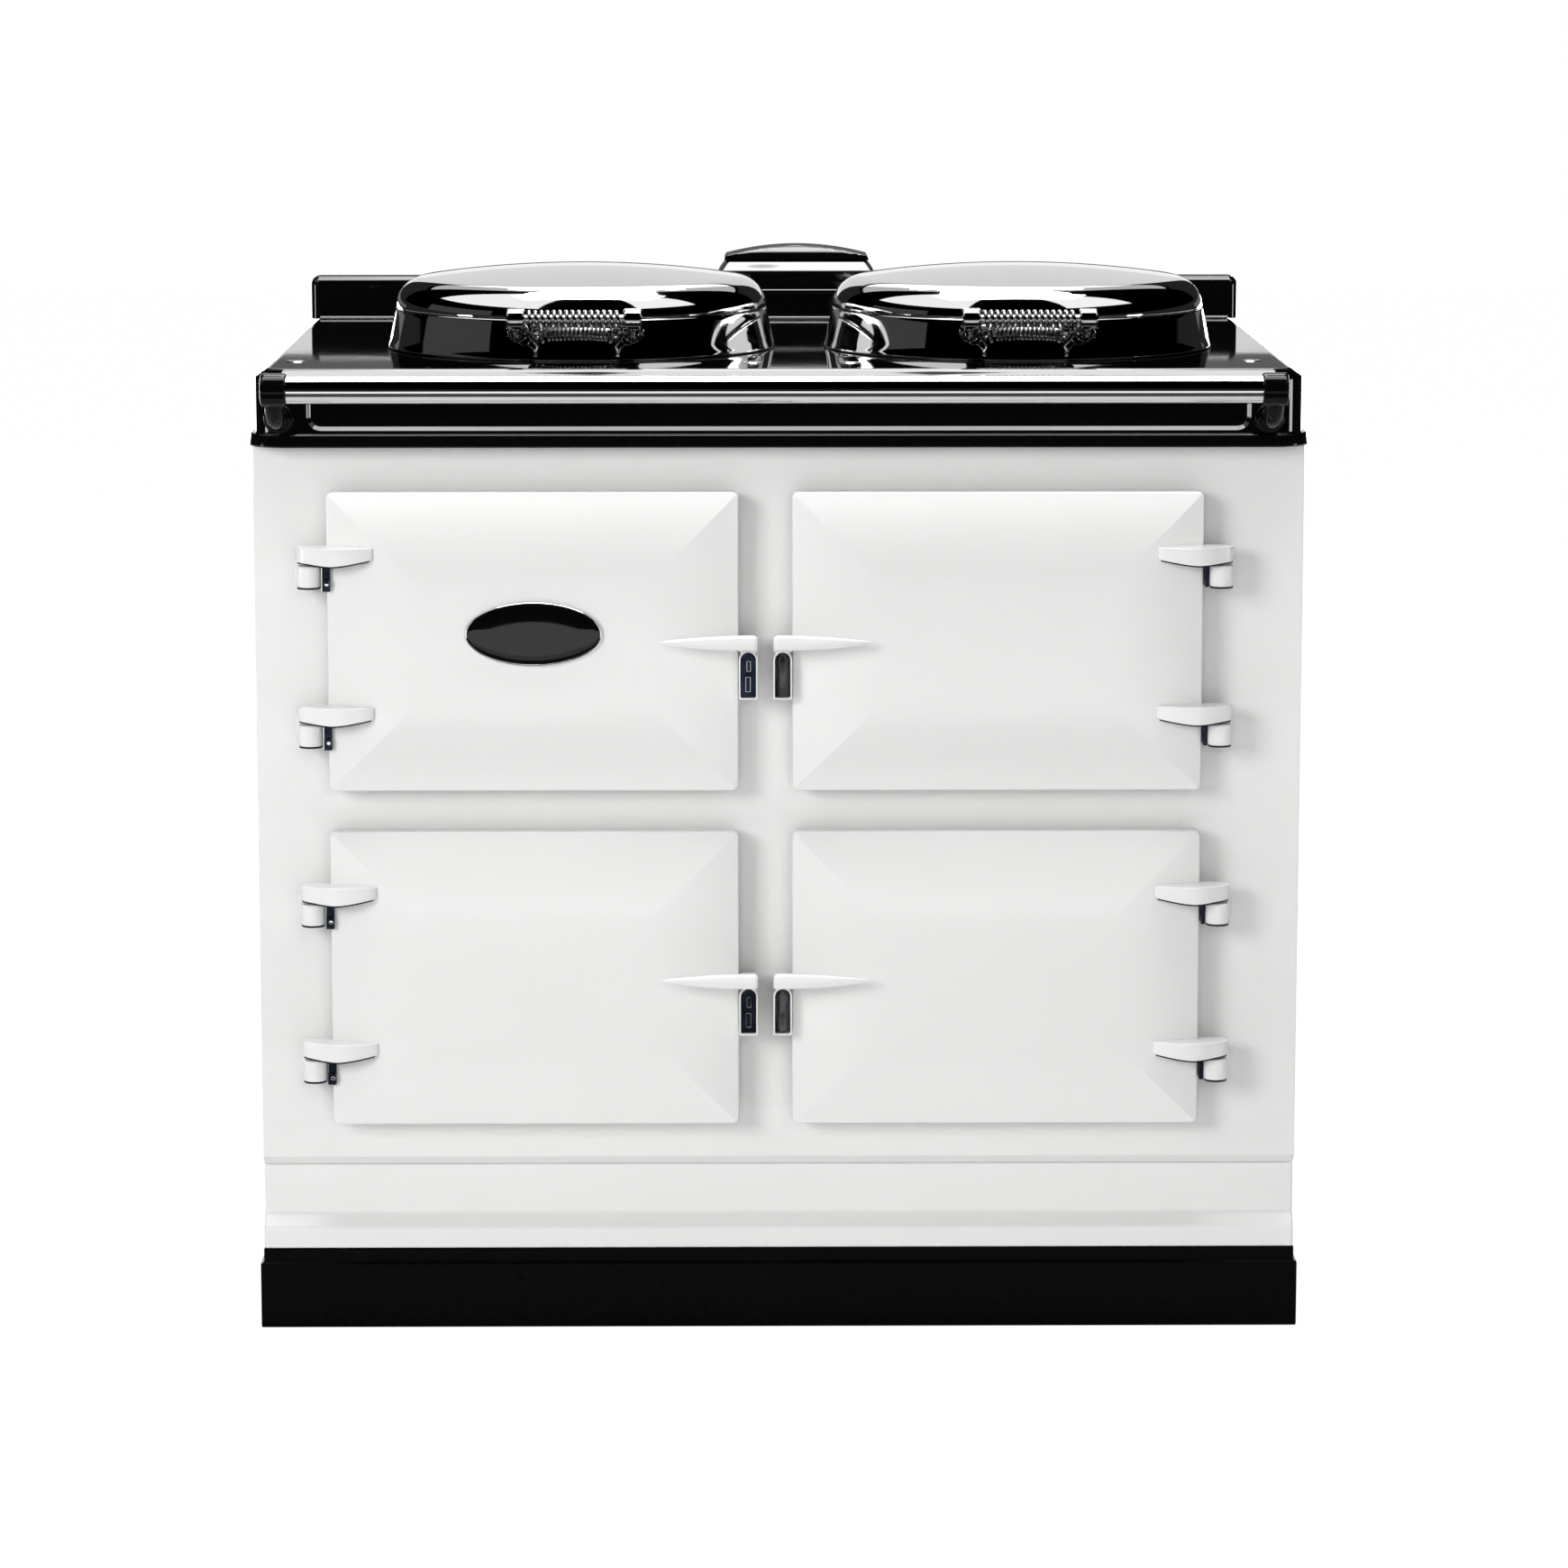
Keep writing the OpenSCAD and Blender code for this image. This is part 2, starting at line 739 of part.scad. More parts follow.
module rear_upstand() {
    color(ENAMEL_BLACK)
        difference() {
            from_face()
                translate([0, upstand_d + upstand_t / 2, hob_h])
                    intersection() {
                        along_x(upstand_w) {
                            translate([-upstand_t / 2, 0])
                                square([upstand_t, upstand_h - upstand_r]);
                            translate([-upstand_t / 2 + upstand_r, 0])
                                square([upstand_t - 2 * upstand_r, upstand_h]);
                            for (s = [-1, 1])
                                translate([s * (upstand_t / 2 - upstand_r), upstand_h - upstand_r])
                                    circle(upstand_r);
                        }
                        linear_extrude(upstand_h)
                            rounded_rect(upstand_w, upstand_t, upstand_r);
                    }
            from_face()
                translate([flue_x, 0, hob_h - over])
                    along_y(flue_d, body_depth)
                        translate([0, over])
                            union() {
                                flue_outline(drop_fit);
                                translate([-flue_foot_w / 2, -over])
                                    square([flue_foot_w, over]);
                            }
        }
}

module flue_chamber() {
    shoulder_z = flue_h - flue_shoulder_h;
    rib_w = flue_foot_w - (flue_foot_w - flue_shoulder_w) * flue_rib_h / shoulder_z;
    color(ENAMEL_BLACK)
        from_face()
            translate([flue_x, 0, hob_h])
                difference() {
                    union() {
                        intersection() {
                            along_y(flue_d, flue_d + flue_depth)
                                flue_outline(0);
                            along_x(flue_foot_w)
                                polygon([
                                    [flue_d, 0],
                                    [flue_d, shoulder_z],
                                    [flue_d + flue_shoulder_h, flue_h],
                                    [flue_d + flue_depth, flue_h],
                                    [flue_d + flue_depth, 0]
                                ]);
                        }
                        // a half-round rib across the front
                        translate([0, flue_d, flue_rib_h + flue_rib_t / 2])
                            rod_x(flue_rib_t / 2, rib_w - flue_rib_t);
                        // a coved foot along the front
                        translate([0, flue_d, 0])
                            along_x(flue_foot_w)
                                difference() {
                                    translate([-flue_rib_t, 0])
                                        square([flue_rib_t + over, flue_rib_t]);
                                    translate([-flue_rib_t, flue_rib_t])
                                        circle(flue_rib_t - 0.6);
                                }
                    }
                    translate([0, 0, -over])
                        block(flue_top_w - 2 * flue_wall, flue_d + flue_wall + flue_shoulder_h,
                            flue_d + flue_depth - flue_wall, flue_h + 2 * over);
                }
}

// An arched cap over the flue chamber, falling toward its front as well
module flue_cap() {
    w = flue_top_w + 2 * cap_overhang;
    front_d = flue_d + flue_shoulder_h - cap_overhang;
    depth = flue_depth - flue_shoulder_h + cap_overhang;
    arch_r = ((w / 2) * (w / 2) + cap_rise * cap_rise) / (2 * cap_rise);
    top = cap_edge_t + cap_rise;
    color(ENAMEL_BLACK)
        from_face()
            translate([flue_x, front_d, hob_h + flue_h])
                intersection() {
                    along_y(0, depth)
                        intersection() {
                            translate([0, top - arch_r])
                                circle(arch_r, $fn = 256);
                            translate([-w / 2, 0])
                                square([w, top]);
                        }
                    along_x(w)
                        union() {
                            square([depth, cap_edge_t]);
                            translate([top, 0])
                                square([depth - top, top]);
                            intersection() {
                                translate([top, 0])
                                    circle(top);
                                square([top, top]);
                            }
                        }
                }
}

// ---- Hand rail ----

module hand_rail() {
    length = rail_right_x - rail_left_x + 2 * socket_grip;
    color(CHROME)
        from_face()
            translate([(rail_left_x + rail_right_x) / 2, -rail_front, rail_z])
                difference() {
                    rod_x(rail_r, length);
                    rod_x(rail_r - rail_wall, length + 2 * over);
                }
}

module rail_brackets() {
    color(ENAMEL_BLACK)
        for (i = [0, 1])
            from_face()
                translate([socket_x[i], 0, rail_z])
                    difference() {
                        union() {
                            translate([0, -rail_front, 0])
                                rod_x(rail_r + socket_wall, socket_l);
                            translate([0, stem_straight_d, -foot_drop])
                                rod_y(stem_r, skirt_front_d - stem_straight_d);
                            translate([0, stem_straight_d, 0])
                                rotate([90, 0, -90])
                                    rotate_extrude(angle = -90)
                                        translate([foot_drop, 0])
                                            circle(stem_r);
                            translate([0, skirt_front_d - bracket_foot_t, -foot_drop])
                                rod_y(bracket_foot_r, bracket_foot_t);
                        }
                        translate([(i == 0 ? 1 : -1) * (socket_l / 2 + over - (socket_grip + over) / 2),
                            -rail_front, 0])
                            rod_x(rail_bore_r, socket_grip + over);
                    }
}

// ---- Hotplates, ovens and what is in them ----

module hotplates() {
    rim_r = hotplate_r + 6;
    rim_t = 12;
    color(IRON)
        for (i = [0, 1])
            at_lid(i) {
                translate([0, 0, -hotplate_low - hotplate_t])
                    cylinder(r = hotplate_r, h = hotplate_t, $fn = 96);
                translate([0, 0, -slab_t - rim_t])
                    cylinder(r = rim_r, h = rim_t, $fn = 96);
            }
}

// An open-fronted cast box behind one opening
module cast_box(i, depth) {
    at_opening(i)
        difference() {
            along_y(front_t, front_t + depth + oven_wall)
                square([oven_w + 2 * oven_wall, oven_h + 2 * oven_wall], center = true);
            along_y(front_t - over, front_t + depth)
                rounded_rect(oven_w, oven_h, oven_corner_r);
        }
}

// An oven with a runner for its shelf on each side wall
module oven(i) {
    runner_top = shelf_z - frame_rod_r - oven_h / 2;
    color(IRON) {
        cast_box(i, oven_depth);
        at_opening(i)
            for (s = [-1, 1])
                translate([s * (oven_w - runner_w) / 2, 0, runner_top - runner_h])
                    block(runner_w + 2 * over, oven_back_d - shelf_depth, oven_back_d + over, runner_h);
    }
}

module shelf() {
    rail_x = oven_w / 2 - frame_rod_r - drop_fit * 4;
    pitch = 2 * rail_x / (bar_count + 1);
    length = shelf_depth - 2 * frame_rod_r;
    for (s = [-1, 1])
        translate([s * rail_x, 0, 0])
            rod_y(frame_rod_r, length);
    for (d = [frame_rod_r, length - frame_rod_r])
        translate([0, d, 0])
            rod_x(frame_rod_r, 2 * rail_x + frame_rod_r);
    for (n = [1 : bar_count])
        translate([n * pitch - rail_x, frame_rod_r, 0])
            rod_y(bar_r, length - 2 * frame_rod_r);
}

module oven_shelves() {
    color(STEEL)
        for (i = [1 : 3])
            at_opening(i)
                translate([0, oven_back_d - shelf_depth, shelf_z - oven_h / 2])
                    shelf();
}

// A bent tube in each oven, plugged into its rear wall
module heating_elements() {
    reach = oven_depth * 0.75;
    color(STEEL)
        for (i = [1 : 3])
            at_opening(i)
                translate([0, oven_back_d, element_z - oven_h / 2]) {
                    for (s = [-1, 1])
                        translate([s * element_w / 2, -reach, 0])
                            rod_y(element_r, reach);
                    translate([0, -reach, 0])
                        rotate([0, 0, 180])
                            rotate_extrude(angle = 180)
                                translate([element_w / 2, 0])
                                    circle(element_r);
                }
}

// The control housing has a ring of marks round the spindle
module control_housing() {
    mark_ring_r = knob_r + 9;
    color(IRON)
        difference() {
            union() {
                cast_box(0, control_depth);
                at_opening(0)
                    for (n = [0 : mark_count - 1])
                        rotate([0, 135 - n * 270 / (mark_count - 1), 0])
                            translate([0, knob_d - 1, mark_ring_r])
                                block(2, 0, 1 + over, 7);
            }
            at_opening(0)
                translate([0, knob_d - over, 0])
                    rod_y(spindle_r + pin_clear, oven_wall + 2 * over);
        }
}

module thermostat_knob() {
    pointer_w = 4;
    color(ENAMEL_BLACK)
        at_opening(0) {
            translate([0, knob_d - move_gap - knob_l, 0])
                rod_y(knob_r, knob_l * 0.4);
            translate([0, knob_d - move_gap - knob_l * 0.6, 0])
                rod_y(knob_r * 0.8, knob_l * 0.6);
            translate([0, 0, knob_r * 0.3])
                block(pointer_w, knob_d - move_gap - knob_l - 2, knob_d - move_gap - knob_l + over, knob_r * 0.6);
            translate([0, knob_d - move_gap - over, 0])
                rod_y(spindle_r, oven_wall + move_gap + 4);
        }
}

// Slabs beside, between and behind the ovens, standing on the base plate
module insulation_slabs() {
    inner_x = side_x - sheet_t;
    left_out = opening_x(0) - oven_w / 2 - oven_wall;
    left_in = opening_x(0) + oven_w / 2 + oven_wall;
    right_in = opening_x(1) - oven_w / 2 - oven_wall;
    right_out = opening_x(1) + oven_w / 2 + oven_wall;
    rear_d = oven_back_d + oven_wall;
    floor_z = plinth_h + base_plate_t;
    color(QUILT)
        from_face()
            for (slab = [
                [-inner_x, left_out, lower_set_back + lower_t, rear_d],
                [left_in, right_in, lower_set_back + lower_t, rear_d],
                [right_out, inner_x, lower_set_back + lower_t, rear_d],
                [-inner_x, inner_x, rear_d + drop_fit, rear_d + rear_slab_t]
            ])
                translate([slab[0], slab[2], floor_z])
                    cube([slab[1] - slab[0], slab[3] - slab[2], top_underside - floor_z - 10]);
}

// ---- Doors ----

// A flat middle with an arc that falls away at each end, drawn from 0 to length
module cushion_outline(length) {
    roll_r = (cushion_roll * cushion_roll + cushion_sag * cushion_sag) / (2 * cushion_sag);
    translate([cushion_roll, 0])
        square([length - 2 * cushion_roll, crown_front]);
    for (end = [0, 1])
        translate([end * length, 0])
            mirror([end, 0])
                intersection() {
                    translate([-over, 0])
                        square([cushion_roll + over, crown_front]);
                    translate([cushion_roll, crown_front - roll_r])
                        circle(roll_r, $fn = 256);
                }
}

// The door's outer form from its hinge edge and lower edge. The outlines overshoot, so that only the last solid
// cuts the door's edges
module cushion() {
    step_d = -door_gap - door_step;
    intersection() {
        // the outline across the door, drawn out upward
        mirror([0, 1, 0])
            translate([0, 0, -over])
                linear_extrude(door_h + 2 * over)
                    cushion_outline(door_w);
        // the outline up the door, drawn out across it
        translate([door_w / 2, 0, 0])
            rotate([0, -90, 0])
                linear_extrude(door_w + 2 * over, center = true)
                    mirror([0, 1])
                        cushion_outline(door_h);
        union() {
            translate([door_w / 2, 0, door_h / 2]) {
                along_y(-crown_front - over, step_d)
                    rounded_rect(door_w, door_h, door_corner_r);
                along_y(step_d - over, -door_gap)
                    rounded_rect(door_w - 2 * door_step_inset, door_h - 2 * door_step_inset, door_corner_r);
            }
        }
    }
}

// A tapered lug over the door's edge that ends in a round knuckle
module hinge_lug() {
    front = crown_front + lug_proud;
    knuckle_front = hinge_front + knuckle_r;
    // a place well inside the knuckle's circle, where the lug's flat sides start
    knuckle_in = knuckle_r * 0.6;
    intersection() {
        mirror([0, 1, 0])
            linear_extrude(lug_h) {
                translate([-hinge_out, hinge_front])
                    circle(knuckle_r);
                polygon([
                    [-hinge_out + knuckle_in / 2, hinge_front - knuckle_in],
                    [-hinge_out - knuckle_in, hinge_front + knuckle_in],
                    [-hinge_out / 2, knuckle_front + lug_proud / 2],
                    [0, front - 1],
                    [lug_reach * 0.2, front],
                    [lug_reach * 0.5, front - 2],
                    [lug_reach * 0.8, front - 7],
                    [lug_reach, crown_front - 4],
                    [lug_reach, edge_front],
                    [0, hinge_front - knuckle_in]
                ]);
            }
        along_y(-front - over, over)
            polygon([
                [-hinge_out - knuckle_r, 0],
                [lug_reach * 0.1, 0],
                [lug_reach * 0.6, lug_h * 0.1],
                [lug_reach, lug_h * 0.28],
                [lug_reach, lug_h * 0.95],
                [lug_reach * 0.6, lug_h],
                [-hinge_out - knuckle_r, lug_h]
            ]);
    }
}

module door_casting(i) {
    pin_top = lug_h - 4;
    color(ENAMEL_WHITE)
        at_door(i)
            difference() {
                union() {
                    cushion();
                    for (z = [lower_hinge_z, upper_hinge_z])
                        translate([0, 0, z + move_gap])
                            hinge_lug();
                }
                translate([door_w / 2, 0, door_h / 2])
                    along_y(-pocket_front, over)
                        rounded_rect(pocket_w, pocket_h, oven_corner_r);
                for (z = [lower_hinge_z, upper_hinge_z])
                    translate([-hinge_out, -hinge_front, z - over])
                        cylinder(r = hinge_bore_r, h = pin_top + move_gap + over);
            }
}

// The liner's plate closes the pocket, and its tray enters the oven opening
module door_liner(i) {
    tray_w = oven_w - 2 * plug_gap;
    tray_h = oven_h - 2 * plug_gap;
    color(STEEL)
        at_door(i)
            translate([door_w / 2, 0, door_h / 2])
                difference() {
                    union() {
                        along_y(-door_gap - liner_t, -door_gap)
                            rounded_rect(pocket_w - 2 * drop_fit, pocket_h - 2 * drop_fit, oven_corner_r);
                        along_y(-door_gap - liner_t, plug_reach)
                            rounded_rect(tray_w, tray_h, oven_corner_r);
                    }
                    along_y(-door_gap - liner_t - over, plug_reach - liner_t)
                        rounded_rect(tray_w - 2 * liner_t, tray_h - 2 * liner_t, oven_corner_r - liner_t);
                }
}

module door_insulation(i) {
    tray_w = oven_w - 2 * (plug_gap + liner_t + drop_fit);
    tray_h = oven_h - 2 * (plug_gap + liner_t + drop_fit);
    color(QUILT)
        at_door(i)
            translate([door_w / 2, 0, door_h / 2]) {
                along_y(-pocket_front, -door_gap - liner_t)
                    rounded_rect(pocket_w - 2 * drop_fit, pocket_h - 2 * drop_fit, oven_corner_r);
                along_y(-door_gap - liner_t - over, plug_reach - liner_t)
                    rounded_rect(tray_w, tray_h, oven_corner_r - liner_t);
            }
}

// An upright outline with a round top, standing on z = 0
module arch(w, h) {
    translate([-w / 2, 0])
        square([w, h - w / 2]);
    translate([0, h - w / 2])
        circle(w / 2);
}

// A leaf-shaped blade on a neck, with the latch housing below it beside the door
module door_handle(i) {
    housing_x = door_w + housing_w / 2;
    half_h = blade_h / 2;
    leaf_r = (blade_l * blade_l + half_h * half_h) / (2 * half_h);
    root_x = blade_x + blade_l;
    root_inset = 1.5;
    color(ENAMEL_WHITE)
        at_door(i) {
            intersection() {
                along_y(-blade_front - over, 0)
                    intersection() {
                        translate([root_x, blade_z + half_h - leaf_r])
                            circle(leaf_r, $fn = 512);
                        translate([root_x, blade_z - half_h + leaf_r])
                            circle(leaf_r, $fn = 512);
                        translate([blade_x, blade_z - half_h])
                            square([blade_l, blade_h]);
                    }
                mirror([0, 1, 0])
                    linear_extrude(door_h)
                        polygon([
                            [blade_x, blade_front - blade_t * 0.7],
                            [blade_x + blade_l * 0.25, blade_front - blade_t * 0.25],
                            [blade_x + blade_l * 0.6, blade_front],
                            [root_x, blade_front],
                            [root_x, blade_front - blade_t],
                            [blade_x, blade_front - blade_t]
                        ]);
            }
            // the root from the blade back over the housing
            translate([housing_x, 0, blade_z - half_h + root_inset])
                block(housing_w, -blade_front + blade_t - over, -housing_gap, blade_h - 2 * root_inset);
            difference() {
                union() {
                    translate([housing_x, 0, housing_z])
                        along_y(-housing_front, -housing_gap)
                            arch(housing_w, housing_h);
                    translate([housing_x, 0, housing_z + housing_h - housing_w / 2])
                        block(housing_w, -housing_front, -housing_gap,
                            housing_w / 2 + root_drop + 2 * root_inset);
                }
                translate([housing_x, 0, housing_z + housing_wall])
                    along_y(-housing_front - over, window_depth - housing_front)
                        arch(housing_w - 2 * housing_wall, housing_h - 2 * housing_wall);
            }
        }
}

// A dark tongue on the floor of the housing's window
module door_latch(i) {
    floor_d = window_depth - housing_front;
    window_w = housing_w - 2 * housing_wall;
    window_h = housing_h - 2 * housing_wall;
    color(IRON)
        at_door(i)
            translate([door_w + housing_w / 2, 0, housing_z + housing_wall]) {
                along_y(floor_d - latch_t, floor_d)
                    translate([0, 2])
                        arch(window_w - 4, window_h - 4);
                translate([0, floor_d - latch_t - 2, window_h * 0.2])
                    block(window_w * 0.35, 0, 2 + over, window_h * 0.5);
            }
}

// Oval outline from a formula
module oval(w, h) {
    steps = 72;
    polygon([for (n = [0 : steps - 1]) [w / 2 * cos(n * 360 / steps), h / 2 * sin(n * 360 / steps)]]);
}

module door_badge() {
    color(CHROME)
        at_door(0)
            translate([badge_x, 0, badge_z])
                difference() {
                    along_y(-crown_front - badge_t, -crown_front)
                        oval(badge_w, badge_h);
                    along_y(-crown_front - badge_t - over, -crown_front - badge_t + badge_recess)
                        oval(badge_w - 2 * badge_rim_w, badge_h - 2 * badge_rim_w);
                }
}

// ---- What the doors hang on and close against ----

module hinge_blocks() {
    bore_floor = 3;
    color(ENAMEL_WHITE)
        for (i = [0 : 3])
            at_door(i)
                for (z = [lower_hinge_z, upper_hinge_z])
                    translate([-hinge_out, 0, z - block_h])
                        difference() {
                            union() {
                                translate([0, -hinge_front, 0])
                                    cylinder(r = knuckle_r, h = block_h);
                                block(2 * knuckle_r, -hinge_front, 0, block_h);
                                block(block_flange_w, -block_flange_t, 0, block_h + 4);
                            }
                            translate([0, -hinge_front, bore_floor])
                                cylinder(r = hinge_bore_r, h = block_h);
                            // a bevel under the web
                            translate([0, -hinge_front * 0.45, -block_h * 0.5])
                                rotate([35, 0, 0])
                                    block(block_flange_w + 2 * over, -hinge_front, hinge_front * 0.9, 9);
                        }
}

module hinge_pins() {
    door_pin_l = block_h - 3 + lug_h - 4;
    lid_pin_l = lid_knuckle_l + 2 * (move_gap + ear_t);
    color(STEEL) {
        for (i = [0 : 3])
            at_door(i)
                for (z = [lower_hinge_z, upper_hinge_z])
                    translate([-hinge_out, -hinge_front, z - block_h + 3])
                        cylinder(r = pin_r, h = door_pin_l);
        for (i = [0, 1])
            at_lid(i)
                translate([0, lid_axis_back, lid_axis_h])
                    rod_x(pin_r, lid_pin_l);
    }
}

// A stud on a round plate behind each latch housing
module strikers() {
    striker_z = housing_z + housing_h * 0.4;
    color(STEEL)
        for (i = [0 : 3])
            at_door(i)
                translate([door_w + housing_w / 2, 0, striker_z]) {
                    translate([0, -3, 0])
                        rod_y(striker_r + 3, 3);
                    translate([0, move_gap - housing_gap, 0])
                        rod_y(striker_r, housing_gap - move_gap);
                }
}

module door_seals() {
    lip = 3;
    color(QUILT)
        for (i = [0 : 3])
            at_opening(i)
                difference() {
                    along_y(move_gap - door_gap, 0)
                        rounded_rect(oven_w + 2 * (lip + seal_w), oven_h + 2 * (lip + seal_w),
                            oven_corner_r + lip + seal_w);
                    along_y(-door_gap, over)
                        rounded_rect(oven_w + 2 * lip, oven_h + 2 * lip, oven_corner_r + lip);
                }
}

// ---- Lids ----

// Half section of a lid's outside from a height up to its top, as points round the shoulder and over the crown
function dome_points(r, rise, shoulder, inset) =
    let (
        // the crown's radius makes it meet the shoulder's arc smoothly
        flat_r = r - shoulder,
        crown_r = (flat_r * flat_r + rise * rise - shoulder * shoulder) / (2 * (rise - shoulder)),
        meet = asin(flat_r / (crown_r - shoulder)),
        steps = 10
    )
    concat(
        [for (n = [0 : steps])
            let (a = (90 - meet) * n / steps)
            [flat_r + (shoulder - inset) * cos(a), seam_h + (shoulder - inset) * sin(a)]],
        [for (n = [1 : steps])
            let (a = meet * (1 - n / steps))
            [(crown_r - inset) * sin(a), seam_h + rise - crown_r + (crown_r - inset) * cos(a)]]
    );

module lid_dome(i) {
    outer = dome_points(seam_r, dome_rise, shoulder_r, 0);
    inner = dome_points(seam_r, dome_rise, shoulder_r, lid_t);
    turned_back = [for (n = [len(inner) - 1 : -1 : 0]) inner[n]];
    color(CHROME)
        at_lid(i)
            rotate_extrude($fn = 96)
                polygon(concat(outer, turned_back));
}

// The flared lower part of a lid, from its foot up to the seam
function base_points(grow) = [
    [lid_r + grow, move_gap],
    [lid_r + grow, 5],
    [lid_r - 1.8 + grow, 8],
    [seam_r + 0.6 + grow, seam_h - 1.6],
    [seam_r - 1 + grow, seam_h]
];

module lid_base(i) {
    pan_top = move_gap + lid_t;
    color(CHROME)
        at_lid(i)
            rotate_extrude($fn = 96)
                polygon(concat(
                    [[0, move_gap]],
                    base_points(0),
                    [
                        [seam_r - lid_t, seam_h],
                        [seam_r - lid_t, seam_h - 1.6],
                        [lid_r - 1.8 - lid_t, 8],
                        [lid_r - 2 - lid_t, pan_top],
                        [0, pan_top]
                    ]
                ));
}

// The lid's solid form, cut from what is fixed to its outside
module lid_form() {
    rotate_extrude($fn = 96)
        polygon(concat([[0, 0]], base_points(0), dome_points(seam_r, dome_rise, shoulder_r, 0)));
}

// Two strap arms in one casting from the lid's rear to the hinge pin
module lid_hinge_arm(i) {
    strap_h = 12;
    root_h = 26;
    color(CHROME)
        at_lid(i)
            difference() {
                union() {
                    translate([0, lid_axis_back, lid_axis_h])
                        rod_x(lid_knuckle_r, lid_knuckle_l);
                    translate([0, 0, lid_axis_h - lid_knuckle_r])
                        block(lid_knuckle_l * 0.8, seam_r - 6, lid_axis_back, strap_h);
                    translate([0, 0, lid_axis_h - lid_knuckle_r - 8])
                        block(lid_knuckle_l, seam_r - 6, seam_r + 10, root_h);
                }
                lid_form();
                translate([0, lid_axis_back, lid_axis_h])
                    rod_x(hinge_bore_r, lid_knuckle_l + 2 * over);
            }
}

module lid_hinge_brackets() {
    ear_x = lid_knuckle_l / 2 + move_gap + ear_t / 2;
    ear_r = lid_knuckle_r + 3;
    foot_w = 2 * ear_x + ear_t + 16;
    color(ENAMEL_BLACK)
        for (i = [0, 1])
            at_lid(i)
                difference() {
                    union() {
                        for (s = [-1, 1])
                            translate([s * ear_x, lid_axis_back, 0]) {
                                translate([0, 0, lid_axis_h])
                                    rod_x(ear_r, ear_t);
                                block(ear_t, -ear_r, ear_r, lid_axis_h);
                            }
                        block(foot_w, lid_axis_back - ear_r, lid_axis_back + ear_r + 8, 5);
                    }
                    translate([0, lid_axis_back, lid_axis_h])
                        rod_x(hinge_bore_r, foot_w);
                }
}

// Two curved brackets with the rod between them
module lid_handle(i) {
    end_x = (grip_l + grip_end_l) / 2;
    bend_y = -grip_front + grip_drop;
    color(CHROME)
        at_lid(i)
            difference() {
                union() {
                    translate([0, -grip_front, grip_h])
                        rod_x(rod_r, grip_l + 2 * over);
                    for (s = [-1, 1])
                        translate([s * end_x, 0, 0]) {
                            translate([0, -grip_front, grip_h])
                                rod_x(grip_end_r, grip_end_l);
                            translate([0, bend_y, grip_h])
                                rotate([90, 0, -90])
                                    rotate_extrude(angle = -90)
                                        translate([grip_drop, 0])
                                            circle(grip_stem_r);
                            translate([0, bend_y, grip_h - grip_drop])
                                rod_y(grip_stem_r, grip_front - grip_drop - seam_r + 20);
                            translate([0, -lid_r, grip_h - grip_drop])
                                rod_y(grip_stem_r + 4, 20);
                        }
                }
                lid_form();
            }
}

// ---- Coil grip ----

// The coil's path: a straight end, the helix, and a straight end
coil_lead = 2 * wire_r;
coil_pitch = (grip_l - 2 * coil_lead) / coil_turns;
coil_steps = 8 * coil_turns;
coil_sides = 6;
// Each ring is an angle round the axis, a place along it, and the slope of the wire there
coil_slope = atan2(coil_pitch, 2 * PI * coil_r);
coil_rings = concat(
    [[0, -grip_l / 2, 90]],
    [[0, coil_lead - grip_l / 2, (90 + coil_slope) / 2]],
    [for (n = [1 : coil_steps - 1]) [n * 45, coil_lead - grip_l / 2 + n * coil_pitch / 8, coil_slope]],
    [[0, grip_l / 2 - coil_lead, (90 + coil_slope) / 2]],
    [[0, grip_l / 2, 90]]
);
function coil_centre(ring) = [ring[1], coil_r * sin(ring[0]), coil_r * cos(ring[0])];
function ring_point(ring, n) =
    let (
        out = [0, sin(ring[0]), cos(ring[0])],
        turn = [0, cos(ring[0]), -sin(ring[0])],
        along = [1, 0, 0],
        across = along * cos(ring[2]) - turn * sin(ring[2]),
        a = n * 360 / coil_sides
    )
    coil_centre(ring) + wire_r * (cos(a) * out + sin(a) * across);

// The least gap of the wire to itself, measured between ring centres at least half a turn apart
coil_gap = min([
    for (a = [0 : len(coil_rings) - 1], b = [a + 5 : len(coil_rings) - 1])
        norm(coil_centre(coil_rings[a]) - coil_centre(coil_rings[b]))
]) - 2 * wire_r;
echo(coil_gap = coil_gap);

module coil() {
    count = len(coil_rings);
    points = [for (ring = coil_rings, n = [0 : coil_sides - 1]) ring_point(ring, n)];
    sides = [
        for (r = [0 : count - 2], n = [0 : coil_sides - 1])
            let (
                next = (n + 1) % coil_sides,
                a = r * coil_sides + n,
                b = r * coil_sides + next,
                c = a + coil_sides,
                d = b + coil_sides
            )
            each [[a, b, d], [a, d, c]]
    ];
    last = (count - 1) * coil_sides;
    start_cap = [for (n = [1 : coil_sides - 2]) [0, n + 1, n]];
    end_cap = [for (n = [1 : coil_sides - 2]) [last, last + n, last + n + 1]];
    polyhedron(points, concat(sides, start_cap, end_cap));
}

module lid_coil_grip(i) {
    color(CHROME)
        at_lid(i)
            translate([0, -grip_front, grip_h])
                coil();
}

// ---- Cable gland ----

